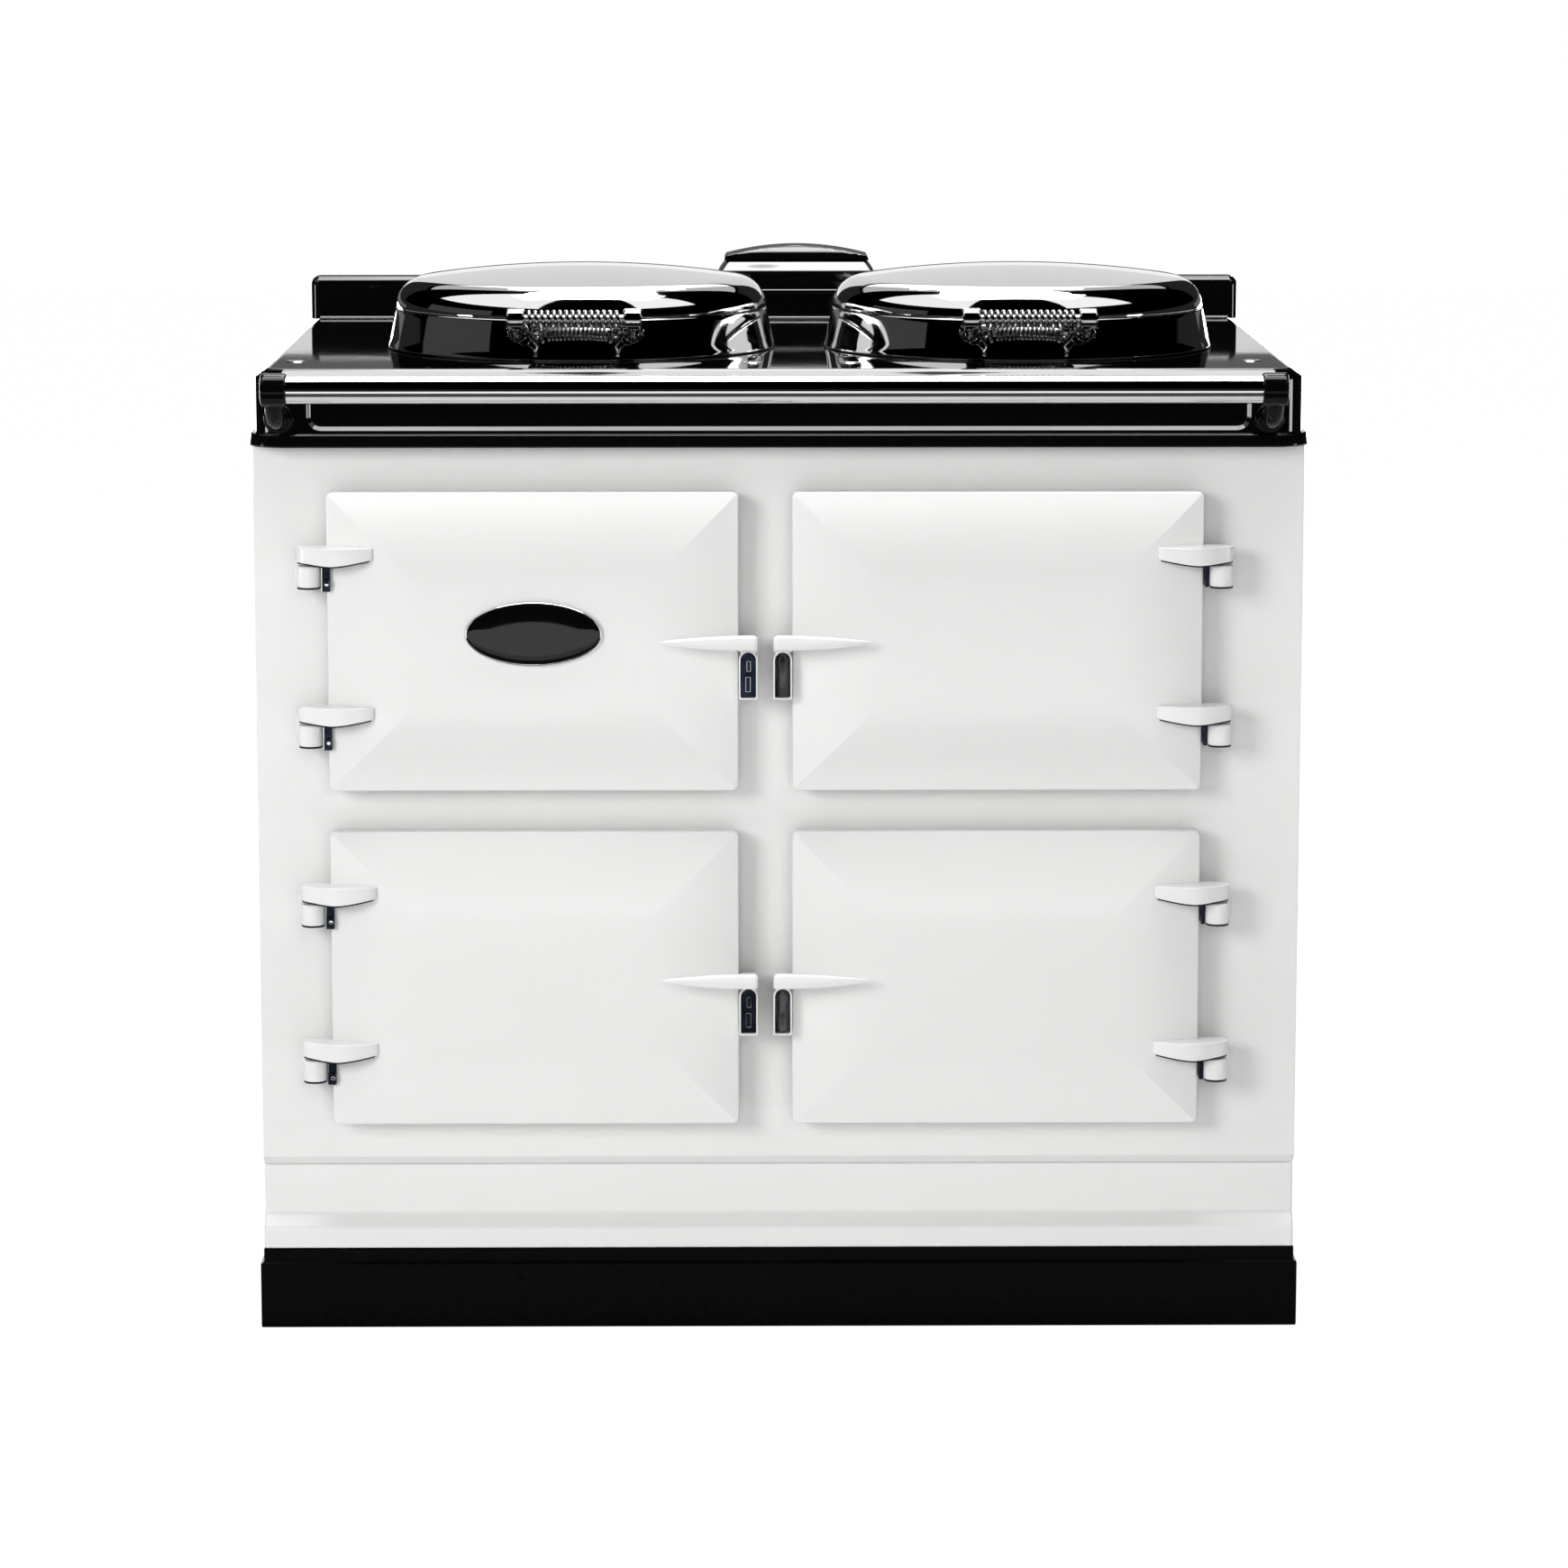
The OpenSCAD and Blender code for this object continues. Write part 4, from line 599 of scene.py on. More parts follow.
def hinge_blocks():
    """The castings on the front panel that hold the hinge pins, each with a dark strip under it that paints
    the shadow line beneath the block.
    """
    form, shade_strips = Form(), Form()
    for door in DOORS:
        block, shade_strip = Form(), Form()
        for z in LUG_Z:
            top = z - BLOCK_GAP
            low = top - BLOCK_H
            levels = (low, top, low - SHADE_DROP, low + SHADE_RISE)
            pin = [(-HINGE_OUT, -HINGE_FRONT, level) for level in levels]
            block.loft(rod(2, pin[0], pin[1], BLOCK_R, 1.6, 40))
            block.loft(round_box((-27.6, -HINGE_FRONT, low + 1.2), (-5.4, 0.5, top), 1.6))
            block.loft(round_box((-32.2, -6, low), (-0.8, 0.5, top + 3.6), 2.0))
            shade_strip.loft(rod(2, pin[2], pin[3], SHADE_DISC_R, 0.3, 40))
            shade_strip.loft(round_box((-27.2, -HINGE_FRONT, low - 1.2), (-5.8, -1, low + SHADE_RISE), 0.4, 1))
        place = at_door(door)
        form.add(block.moved(place).verts, block.faces)
        shade_strips.add(shade_strip.moved(place).verts, shade_strip.faces)
    # the dark steel strips are painted shadow: a dark line under each hinge block
    shade_strips.make("hinge_block_painted_shade", DARK_STEEL, "carcass", "dark_steel")
    obj = form.make("hinge_block_castings", WHITE_ENAMEL, "carcass", "white_enamel", ("hinge_blocks",))
    fuse(obj, 0.9, 5)


BLADE_TIP, BLADE_ROOT, BLADE_Z = 307, 400, 144
BLADE_FRONT, BLADE_BACK, BLADE_HALF, TIP_HALF, TIP_FALL = -71, -60, 7, 0.35, 7.7
# depth, centre above the blade's, height, and what is cut off all round, of sections through the blade's root
ROOT_SECTIONS = ((BLADE_FRONT + 1, 0, 13.2, 2.4), (BLADE_FRONT + 2.4, 0, 13.2, 0), (-17, -6.4, 10.4, 0))
# left, right, lower and upper edge of the latch housing
HOUSING = (382.2, 399.8, 88, 134)
HOUSING_WALL, HOUSING_FRONT, HOUSING_BACK = 1.7, -46, -16.2


def blade_rings(steps=24, n=28):
    """Sections of the leaf-shaped blade from its tip to its root."""
    rings = []
    for k in range(steps + 1):
        t = (k / steps) ** 1.25
        x = BLADE_TIP + 0.4 + (BLADE_ROOT - 3 - BLADE_TIP) * t
        half = BLADE_HALF * (1 - (1 - t) ** 2) ** 0.82 + TIP_HALF
        front = BLADE_FRONT + TIP_FALL * (1 - min(t / 0.62, 1)) ** 1.6
        back = BLADE_BACK - 0.6 * (1 - t)
        mid = (front + back) / 2
        deep = (back - front) / 2 * min(1, 0.25 + 5 * t)
        ring = []
        for c, s in circle(1, n):
            u, v = math.copysign(abs(c) ** 0.75, c), math.copysign(abs(s) ** 0.85, s)
            ring.append((x, mid + deep * u, BLADE_Z + half * v))
        rings.append(ring)
    return rings


def door_handle(door):
    """A leaf-shaped blade, its root, and the arched latch housing."""
    form = Form().loft(blade_rings())
    left, right, low, high = HOUSING
    cx, wide = (left + right) / 2 + 0.2, right - left - 0.4
    form.loft([[(cx + u, d, BLADE_Z + mid + v) for u, v in rounded_rect(wide - cut, tall - cut, 2.4, 4)]
               for d, mid, tall, cut in ROOT_SECTIONS])
    form.loft(round_box((left, -45, high - 1.6), (right, HOUSING_BACK, BLADE_Z - 2), 0.8))
    housing_arch(form, left, right, low, high)
    fuse(hang(form, door, "handle_casting", WHITE_ENAMEL, "white_enamel", "handle"), 0.8, 4)


def arch_ring(cx, half, low, top, n=14):
    """An upright outline with a round top: (x, z) points."""
    points = [(cx + half, low), (cx + half, low + (top - half - low) / 2)]
    turns = [math.pi * k / n for k in range(n + 1)]
    points += [(cx + half * math.cos(a), top - half + half * math.sin(a)) for a in turns]
    points += [(cx - half, low + (top - half - low) / 2), (cx - half, low)]
    return points


def housing_arch(form, left, right, low, high):
    """The latch housing: an arched sleeve that is open at the front."""
    cx, half = (left + right) / 2, (right - left) / 2
    shells = [(0.0, HOUSING_BACK), (0.0, -45.2), (0.5, HOUSING_FRONT), (HOUSING_WALL - 0.3, HOUSING_FRONT),
              (HOUSING_WALL, -45.4), (HOUSING_WALL, -26)]
    form.loft([[(x, d, z) for x, z in arch_ring(cx, half - inset, low + inset, high - inset)]
               for inset, d in shells])


def door_latch(door):
    """The tongue in the housing's window: slotted on the left doors, a rounded paddle on the right ones."""
    left, right, low, high = HOUSING
    build = slotted_latch if door.endswith("left") else paddle_latch
    build(door, (left + right) / 2, low + 1.9, high - 1.9)


def slotted_latch(door, cx, low, high):
    """A flat arched tongue with two bright slots."""
    form = Form()
    form.loft([[(x, d, z) for x, z in arch_ring(cx, 7.0 - inset, low + inset, high - inset)]
               for inset, d in ((0, -26), (0, -40.6), (0.8, -41.4))])
    hang(form, door, "latch_tongue", DARK_STEEL, "dark_steel", "latch")
    trim = Form()
    for x0, z0, x1, z1 in ((cx - 1.6, low + 24, cx + 2.4, low + 34), (cx - 2.6, low + 5, cx + 2.2, low + 19)):
        frame_bars(trim, x0, z0, x1, z1, -41.2, -42.2, 0.55)
    hang(trim, door, "latch_slots", CHROME, "steel")


def paddle_latch(door, cx, low, high, steps=14):
    """A grey paddle with a round top and a slight waist."""
    back, nose, half_w, waist = -28, -43.6, 6.7, 0.9
    rings = []
    for k in range(steps + 1):
        t = k / steps
        z = low + 0.4 + (high - low - 0.8) * t
        half = half_w * math.sqrt(max(0.02, 1 - max(0, (t - 0.72) / 0.29) ** 2))
        half -= waist * math.sin(math.pi * t) ** 2
        front = nose + 5.5 * abs(t - 0.45) ** 1.5
        mid, deep = (front + back) / 2, (back - front) / 2
        rings.append([(cx + half * c, mid - deep * s, z) for c, s in circle(1, 24)])
    form = Form().loft(rings)
    hang(form, door, "latch_tongue", GREY_STEEL, "dark_steel", "latch")


def frame_bars(form, x0, z0, x1, z1, back, front, t):
    """A thin raised rectangle of four bars."""
    bars = ((x0, z0, x1, z0 + t), (x0, z1 - t, x1, z1), (x0, z0, x0 + t, z1), (x1 - t, z0, x1, z1))
    for left, low, right, high in bars:
        form.loft(round_box((left, front, low), (right, back, high), 0.2, 1))


# inset and height over the door's face, round the badge's rim and over its field
BADGE_RIM = ((0.6, -1), (0.1, 0.6), (0, 2.2), (0.5, 3.6), (1.3, 4.4), (2.0, 4.3), (2.7, 3.5), (2.9, 2.4),
             (3.0, 1))
BADGE_FIELD = ((2.4, 0), (2.6, 2.9), (3.4, 3.2), (8, 3.6), (16, 4.0), (24, 4.15), (29.5, 4.2))


def door_badge():
    """A bare oval: a chrome rim round a black glazed field."""
    door = "door_top_left"
    cx, cz, half_w, half_h = 192, 150, 64, 30.5
    for name, profile, material, slot in (("badge_rim", BADGE_RIM, CHROME, "chrome"),
                                          ("badge_field", BADGE_FIELD, BLACK_ENAMEL, "black_enamel")):
        rings = []
        for inset, up in profile:
            w, h = half_w - inset, half_h - inset
            rings.append([(cx + w * c, -CROWN - up, cz + h * s) for c, s in circle(1, 96)])
        Form().loft(rings).moved(at_door(door)).make(name, material, door, slot, ("door_badge",))


# ---- top plate ----

TOP_W, TOP_FRONT, TOP_REAR, TOP_CORNER = 975, -20, 672, 30
HOB_T, SKIRT_H = 10, 72
TOP_LOW = HOB - SKIRT_H
# inset and height of the long bevel from the skirt up to the hob
TOP_EDGE = ((0.25, -8.9), (0.9, -8.0), (2.0, -7.1), (4.6, -5.3), (7.1, -3.5), (9.4, -1.8), (10.8, -0.95),
            (12.2, -0.4), (13.6, -0.1), (15, 0))
FASCIA_W, FASCIA_H, FASCIA_CORNER = 875, 38.5, 13
# inset and depth of the slope from the fascia's rim to its floor
FASCIA_SLOPE = ((-0.9, 0), (-0.3, 0.1), (0, 0.3), (1.7, 2.05), (3.4, 3.75), (3.8, 3.95), (4.4, 4))
LID_X = {"lid_left": -191, "lid_right": 234.6}
LID_D = 255
HOTPLATE_R = 183


def top_plate(steps=12):
    """The hob casting with its flange, skirt, recessed fascia, bevelled edge and two round holes."""
    depth = TOP_REAR - TOP_FRONT
    mid = (TOP_REAR + TOP_FRONT) / 2
    under = HOB - HOB_T
    profile = [(9, under), (9, TOP_LOW + 1), (8, TOP_LOW), (-4.6, TOP_LOW)]
    profile += [(-4.4 - u, TOP_LOW + 1.6 + v) for u, v in arc(0, 0, 1.6, -90, 0, 3)[1:]]
    profile += [(-3.4 - u, TOP_LOW + 10.4 + v) for u, v in arc(0, 0, 1.6, 0, 90, 5)]
    profile += [(-0.9, TOP_LOW + 12), (-0.3, TOP_LOW + 12.3), (-0.02, TOP_LOW + 13)]
    face_row = len(profile)
    profile += [(0, TOP_LOW + 15), (0, under)]
    profile += [(inset, HOB + z) for inset, z in TOP_EDGE]
    rings = []
    for inset, z in profile:
        outline = rounded_rect(TOP_W - 2 * inset, depth - 2 * inset, TOP_CORNER - inset, steps)
        rings.append([(u, mid + v, z) for u, v in outline])
    form = Form().loft(rings, caps=(False, False))
    # the recessed fascia takes the place of the flat front face
    low_row = face_row * len(rings[0]) + 3 * (steps + 1) - 1
    high_row = low_row + len(rings[0])
    skipped = (low_row, low_row + 1, high_row + 1, high_row)
    form.faces = [f for f in form.faces if set(f) != set(skipped)]
    fascia(form, [form.verts[i] for i in skipped])
    hob_surface(form, rings[-1], rings[0])
    form.make("hob_casting", BLACK_ENAMEL, "carcass", "black_enamel", ("top_plate",), crease=50)


def fascia(form, corners, steps=6):
    """The long shallow recess in the front of the top plate, with a rounded rim and sloped sides."""
    x = abs(corners[0][0])
    low, high = min(c[2] for c in corners), max(c[2] for c in corners)
    mid_z = low + 0.6 + FASCIA_H / 2
    rings = [[(u, TOP_FRONT + deep, mid_z + v) for u, v, deep in ring]
             for ring in slab(FASCIA_W, FASCIA_H, FASCIA_CORNER, FASCIA_SLOPE, steps)]
    form.loft([rim_points(rings[0], x, low, high, steps)] + rings, caps=(False, True))


def rim_points(ring, x, low, high, steps):
    """A point on the flat face's edge for each point of the rim, where each quarter's middle is a corner."""
    points = []
    for k, (u, _, v) in enumerate(ring):
        quarter, step = divmod(k, steps + 1)
        side_x, side_z = (x if u > 0 else -x), (high if quarter < 2 else low)
        corner, beside = step == steps / 2, (step < steps / 2) == (quarter % 2 == 0)
        points.append((side_x if corner or beside else u, TOP_FRONT, v if beside and not corner else side_z))
    return points


def hob_surface(form, top_ring, under_ring):
    """The hob and its underside, each with two round holes, and the holes' walls."""
    holes = [[(x + u, LID_D + v) for u, v in circle(HOTPLATE_R + 0.3, 96)] for x in LID_X.values()]
    for ring, level in ((top_ring, HOB), (under_ring, HOB - HOB_T)):
        loops = [[Vector((p[0], p[1], 0)) for p in ring]]
        loops += [[Vector((u, v, 0)) for u, v in hole] for hole in holes]
        flat = [p for loop in loops for p in loop]
        form.add([(p.x, p.y, level) for p in flat], tessellate_polygon(loops))
    for hole in holes:
        form.loft([[(u, v, z) for u, v in hole] for z in (HOB, HOB - HOB_T)], caps=(False, False))


def plugs():
    """Four low round plugs: two at the sides and two between the lids."""
    profile = [(r, HOB + z) for r, z in ((8.5, 0.02), (8.5, 0.4), (8.2, 0.7), (7.4, 0.8), (4, 0.8), (1, 0.8))]
    middle = (LID_X["lid_left"] + LID_X["lid_right"]) / 2
    form = Form()
    for x, d in ((-455, 74), (447, 74), (middle - 46, 59), (middle + 46, 59)):
        form.loft([[(x + u, d + v, z) for u, v, z in ring] for ring in lathe(profile, 40)])
    form.make("hob_plugs", CHROME, "carcass", "steel", ("top_plate_plugs",))


UPSTAND_W, UPSTAND_T, UPSTAND_D, UPSTAND_H, UPSTAND_ROUND = 968, 34, 621, 44, 9


def upstand():
    """The low wall along the back of the hob, with a cove at its foot."""
    shoulder = HOB + UPSTAND_H - UPSTAND_ROUND
    profile = [(0.6, HOB), (0, HOB + 0.8), (0, shoulder)]
    profile += [(UPSTAND_ROUND - u, shoulder + v) for u, v in arc(0, 0, UPSTAND_ROUND, 0, 90, 9)[1:]]
    form = Form()
    form.loft([[(u, UPSTAND_D + v, z) for u, v, z in ring]
               for ring in slab(UPSTAND_W, UPSTAND_T, UPSTAND_ROUND, profile, 8, 0.4)])
    foot = [(d, HOB + z) for d, z in arc(598, 5.4, 5, -90, -8, 8)]
    strip(form, [[(x, d, z) for x in (-474, 474)] for d, z in foot], 606)
    form.make("upstand_casting", BLACK_ENAMEL, "carcass", "black_enamel", ("rear_upstand",), crease=50)


FLUE_X, FLUE_D, FLUE_DEPTH = 23, 590, 74
FLUE_LOW_W, FLUE_HIGH_W, FLUE_H, FLUE_TOP = 196, 161, 50, 61
# width, front edge and height of sections through the flue's sloping shoulder
FLUE_SHOULDER = ((FLUE_HIGH_W - 0.6, 0.3, FLUE_H), (159, 1.6, 51.4), (147.5, 9.2, 59.4), (145.6, 10.6, 60.6),
                 (145, 11, FLUE_TOP))
FLUE_COVE = ((-6, 0.02), (-5.8, 0.7), (-3.6, 1.3), (-1.9, 2.6), (-0.9, 4.4), (-0.4, 6.2))
RIB_Z, RIB_OUT, RIB_HALF = 29, 3.5, 3


def flue_ring(w, front, z):
    """An outline of the flue chamber this far above the hob, from its front edge to its back."""
    mid = (front + FLUE_DEPTH) / 2
    return [(FLUE_X + u, FLUE_D + mid + v, HOB + z) for u, v in rounded_rect(w, FLUE_DEPTH - front, 4, 5)]


def flue_chamber():
    """The tapered chamber behind the lids, with a round rib across its front and a cove at its foot."""
    form = Form()
    slope = (FLUE_LOW_W - FLUE_HIGH_W) / FLUE_H
    rings = [flue_ring(FLUE_LOW_W - slope * z, 0, max(z, 0.02)) for z in (0, 25, FLUE_H - 1.2)]
    rings += [flue_ring(w, front, z) for w, front, z in FLUE_SHOULDER]
    form.loft(rings)
    rib_w = FLUE_LOW_W - slope * RIB_Z
    rows = []
    for k in range(9):
        a = math.pi * k / 8 - math.pi / 2
        ends = (-rib_w / 2 + 2.5 * (1 - math.cos(a)) + 1, rib_w / 2 - 2.5 * (1 - math.cos(a)) - 1)
        d, z = FLUE_D + 0.6 - RIB_OUT * math.cos(a), HOB + RIB_Z + RIB_HALF * math.sin(a)
        rows.append([(FLUE_X + x, d, z) for x in ends])
    strip(form, rows, FLUE_D + 3)
    rows = [[(FLUE_X + x, FLUE_D + d, HOB + z) for x in (-97.5 + z * 0.35, 97.5 - z * 0.35)]
            for d, z in FLUE_COVE]
    strip(form, rows, FLUE_D + 3)
    form.make("flue_casting", BLACK_ENAMEL, "carcass", "black_enamel", ("flue_chamber",), crease=50)


def strip(form, rows, back):
    """A closed bar from rows of two end points and a flat back."""
    rings = []
    for end in (0, 1):
        ring = [row[end] for row in rows]
        rings.append(ring + [(ring[-1][0], back, ring[-1][2]), (ring[0][0], back, ring[0][2])])
    form.loft(rings)


CAP_HALF, CAP_RISE, CAP_EDGE, CAP_OVERHANG = 75, 10, 4, 2.5


def flue_cap():
    """The domed cap, in sections from left to right, each with a rounded front."""
    top = CAP_EDGE + CAP_RISE
    r = (CAP_HALF * CAP_HALF + CAP_RISE * CAP_RISE) / (2 * CAP_RISE)
    set_back = 11 - CAP_OVERHANG
    front, depth = FLUE_D + set_back, FLUE_DEPTH - set_back
    inner = CAP_HALF - 1.6
    xs = [-CAP_HALF, -CAP_HALF + 0.5, -inner] + [-inner + 2 * inner * k / 28 for k in range(1, 28)]
    xs += [inner, CAP_HALF - 0.5, CAP_HALF]
    rings = []
    for x in xs:
        end = min(1.0, 0.35 + (CAP_HALF - abs(x)) / 1.6 * 0.65)
        crown = (math.sqrt(r * r - x * x) - r + top) * end
        section = [(0.3, 0.0)]
        for k, a in enumerate(quarter_turn(8)):
            deep, high = top * (1 - math.cos(a)), top * math.sin(a)
            section.append((deep * 0.9 + 0.2, min(high, crown) if high < crown else crown - 0.001 * k))
        section += [(depth - 1.5, crown - 0.1), (depth, crown - 1.4), (depth, 0.0)]
        rings.append([(FLUE_X + x, front + d, HOB + FLUE_TOP + z) for d, z in section])
    form = Form().loft(rings)
    form.make("flue_cap_casting", BLACK_ENAMEL, "carcass", "black_enamel", ("flue_cap",), crease=40)


# ---- hand rail ----

RAIL_D, RAIL_Z, RAIL_R, RAIL_ENDS = -70, 902, 13, (-465, 456)
SOCKET_X, SOCKET_HALF, SOCKET_R = (-463, 454), 12, 15.45
BEND_R, BRACKET_R, BRACKET_FOOT_R = 31, 9, 14


def hand_rail():
    """The chrome tube."""
    form = Form().loft(rod(0, *((x, RAIL_D, RAIL_Z) for x in RAIL_ENDS), RAIL_R, 0.8, 96))
    form.make("rail_tube", CHROME, "carcass", "chrome", ("hand_rail",))


def bend_down(x, d, z, r, n):
    """A quarter turn that starts straight down from a point and ends level, toward the back."""
    return [(x, d + r - r * math.cos(a), z - r * math.sin(a)) for a in quarter_turn(n)]


def rail_brackets():
    """A socket round each end of the rail, on a bent arm with a round foot."""
    form = Form()
    low = RAIL_Z - BEND_R
    for x in SOCKET_X:
        ends = [(x + side * SOCKET_HALF, RAIL_D, RAIL_Z) for side in (-1, 1)]
        form.loft(rod(0, *ends, SOCKET_R, 2.4, 64))
        form.loft(tube(bend_down(x, RAIL_D, RAIL_Z, BEND_R, 14) + [(x, -21, low)], BRACKET_R, 32))
        form.loft(rod(1, (x, -26, low), (x, -19.5, low), BRACKET_FOOT_R, 1.8, 56))
    obj = form.make("rail_bracket_castings", BRACKET_ENAMEL, "carcass", "black_enamel", ("rail_brackets",))
    fuse(obj, 0.9, 4)


# ---- lids and hotplates ----

SEAM_R, SEAM_H, LID_R = 180.5, 39, 189
DOME_RISE, SHOULDER = 41, 30
AXIS_BACK, AXIS_H = 230, 32
GRIP_FRONT, GRIP_H, GRIP_L, GRIP_END, GRIP_DROP = 225, 43, 92, 17.5, 15
GRIP_BOSS_R, GRIP_ARM_R, GRIP_ROD_R = 9.9, 6, 4


def at_lid(lid):
    """Places a point given from the middle of the lid, on the hob."""
    return lambda p: (LID_X[lid] + p[0], LID_D + p[1], HOB + p[2])


def dome_profile():
    """Radius and height round the shoulder and over the crown, which meet smoothly."""
    flat = SEAM_R - SHOULDER
    crown = (flat * flat + DOME_RISE ** 2 - SHOULDER ** 2) / (2 * (DOME_RISE - SHOULDER))
    meet = math.degrees(math.asin(flat / (crown - SHOULDER)))
    points = arc(flat, SEAM_H, SHOULDER, 0, 90 - meet, 18)
    points += arc(0, SEAM_H + DOME_RISE - crown, crown, 90 - meet, 90, 40)[1:-1]
    return points + [(0.6, SEAM_H + DOME_RISE)]


def lid_dome(lid):
    """The upper shell, from its lip at the seam to the top."""
    lip = [(SEAM_R - inset, SEAM_H + up) for inset, up in ((6, 0.1), (1.0, 0.05), (0.2, 0.5), (0, 1.2))]
    form = Form().loft(lathe(lip + dome_profile()[1:], 160))
    hang(form, lid, "crown", CHROME, "chrome", "dome", crease=50)


def lid_base(lid):
    """The flared lower shell with a grooved underside and a rolled foot."""
    foot_r, foot_h, top_r, top_h = LID_R - 1.8, 8, SEAM_R + 0.5, SEAM_H - 1.6
    profile = [(1, 0.35), (150, 0.35), (176, 0.35), (178, 1.6), (181, 1.6), (183, 0.35), (LID_R - 1.2, 0.35),
               (LID_R - 0.3, 0.7), (LID_R, 1.5), (LID_R - 0.1, 2.4), (LID_R - 0.8, 4.6)]
    profile += [(foot_r + (top_r - foot_r) * k / 8, foot_h + (top_h - foot_h) * k / 8) for k in range(9)]
    profile += [(SEAM_R + 0.1, SEAM_H - 0.7), (SEAM_R - 0.7, SEAM_H - 0.2), (SEAM_R - 8, SEAM_H)]
    form = Form().loft(lathe(profile, 160))
    hang(form, lid, "skirt", CHROME, "chrome", "base", crease=50)


def grip_bar(half, r, edge, n, middle=0.0):
    """A round bar along the grip's line."""
    return rod(0, (middle - half, -GRIP_FRONT, GRIP_H), (middle + half, -GRIP_FRONT, GRIP_H), r, edge, n)


def lid_handle(lid):
    """Two curved brackets with round ends, and the rod between them."""
    form = Form()
    low, elbow = GRIP_H - GRIP_DROP, -GRIP_FRONT + GRIP_DROP
    for side in (-1, 1):
        x = side * (GRIP_L + GRIP_END) / 2
        form.loft(grip_bar(GRIP_END / 2, GRIP_BOSS_R, 2.0, 48, x))
        arm = bend_down(x, -GRIP_FRONT, GRIP_H, GRIP_DROP, 10) + [(x, elbow + 6, low), (x, -SEAM_R + 2, low)]
        form.loft(tube(arm, GRIP_ARM_R, 28))
        form.loft(rod(1, (x, -LID_R - 0.5, low), (x, -SEAM_R + 4, low), GRIP_BOSS_R, 2.0, 40))
    fuse(hang(form, lid, "grip_brackets", DARKENED_GRIP_CHROME, "chrome", "handle"), 0.7, 5)
    bar = Form().loft(grip_bar(GRIP_L / 2 + 1, GRIP_ROD_R, 0.4, 32))
    hang(bar, lid, "grip_rod", STEEL, "steel", "handle")


def coil_grip(lid):
    """A round wire wound over the rod."""
    turns, steps, wire, r = 15, 28, 1.9, 6.6
    length = GRIP_L - 2 * wire - 0.6
    path = []
    for k in range(turns * steps + 1):
        a = 2 * math.pi * k / steps
        x = -length / 2 + length * k / (turns * steps)
        path.append((x, -GRIP_FRONT + r * math.cos(a), GRIP_H + r * math.sin(a)))
    form = Form().loft(tube(path, wire, 12))
    hang(form, lid, "coil", DARKENED_GRIP_CHROME, "chrome", "coil_grip")


def lid_arm(lid):
    """The hinge arm behind the lid: a knuckle on the pin, an arm and a pad on the lid."""
    form = Form().loft(rod(0, (-30, AXIS_BACK, AXIS_H), (30, AXIS_BACK, AXIS_H), 8, 1.0, 48))
    form.loft(round_box((-24, SEAM_R - 3, AXIS_H - 8), (24, AXIS_BACK, AXIS_H + 3.8), 2.4, 4))
    form.loft(round_box((-30, SEAM_R - 1.2, AXIS_H - 16), (30, SEAM_R + 9.8, AXIS_H + 9.6), 2.6, 4))
    fuse(hang(form, lid, "arm_casting", CHROME, "chrome", "hinge_arm"), 0.9, 4)


def hotplate(lid):
    """A ground iron disc with turned rings, with a cast rim under the hob."""
    top, groove = -1, 3.6
    profile = [(HOTPLATE_R - inset, top - fall) for inset, fall in
               ((4, 45), (0.4, 44), (0, 42), (0, 1.4), (0.6, 0.4), (1.8, 0))]
    r = HOTPLATE_R - 1.8
    while r > 6:
        profile += [(r - 1.4, top - 0.02), (r - 2.2, top - 0.16), (r - 3.0, top - 0.02)]
        r -= groove
    profile.append((0.8, top - 0.02))
    rim_r = HOTPLATE_R + 6
    rim = [(150, -21.8), (rim_r - 0.4, -21.8), (rim_r, -21), (rim_r, -10.4), (150, -10.4)]
    form = Form().loft(lathe(profile, 120))
    form.loft(lathe(rim, 120))
    form.moved(at_lid(lid))
    form.make(lid + "_hotplate", MACHINED_IRON, "carcass", "bare_iron", ("hotplates",), crease=40)


KNOB_X, KNOB_Z, KNOB_BACK, KNOB_FLUTES = -229, 663, 129.7, 20
# depth, radius and depth of the flutes, from the skirt to the front
KNOB_PROFILE = ((0, 21.6, 0), (-0.6, 22, 0), (-4.5, 22, 0), (-8.2, 20.4, 0), (-8.8, 18, 0), (-9.2, 17.2, 0.5),
                (-13, 16.9, 0.7), (-18, 16.4, 0.7), (-20.8, 16.0, 0.5), (-21.7, 15.0, 0), (-22, 13.6, 0),
                (-21.6, 6, 0))


def knob():
    """A moulded knob with a fluted rim, a skirt and a pointer, facing forward in the control recess."""
    rings = []
    for d, r, flute in KNOB_PROFILE:
        ring = []
        for a in (2 * math.pi * k / 160 for k in range(160)):
            reach = r - flute + flute * math.cos(KNOB_FLUTES * a)
            ring.append((KNOB_X + reach * math.cos(a), KNOB_BACK + d, KNOB_Z + reach * math.sin(a)))
        rings.append(ring)
    form = Form().loft(rings)
    form.loft(rod(1, (KNOB_X, KNOB_BACK - 1, KNOB_Z), (KNOB_X, KNOB_BACK + 9.5, KNOB_Z), 3, 0.4, 24))
    node = "thermostat_knob"
    form.make(node + "_moulding", BLACK_PLASTIC, "knob", "black_plastic", (node,), crease=45)
    low, high = (KNOB_X - 1.8, KNOB_BACK - 23.6, KNOB_Z + 6.4), (KNOB_X + 1.8, KNOB_BACK - 20, KNOB_Z + 19.6)
    mark = Form().loft(round_box(low, high, 0.8))
    mark.make(node + "_pointer", WHITE_ENAMEL, "knob", "black_plastic", (node,))


# ---- stage ----

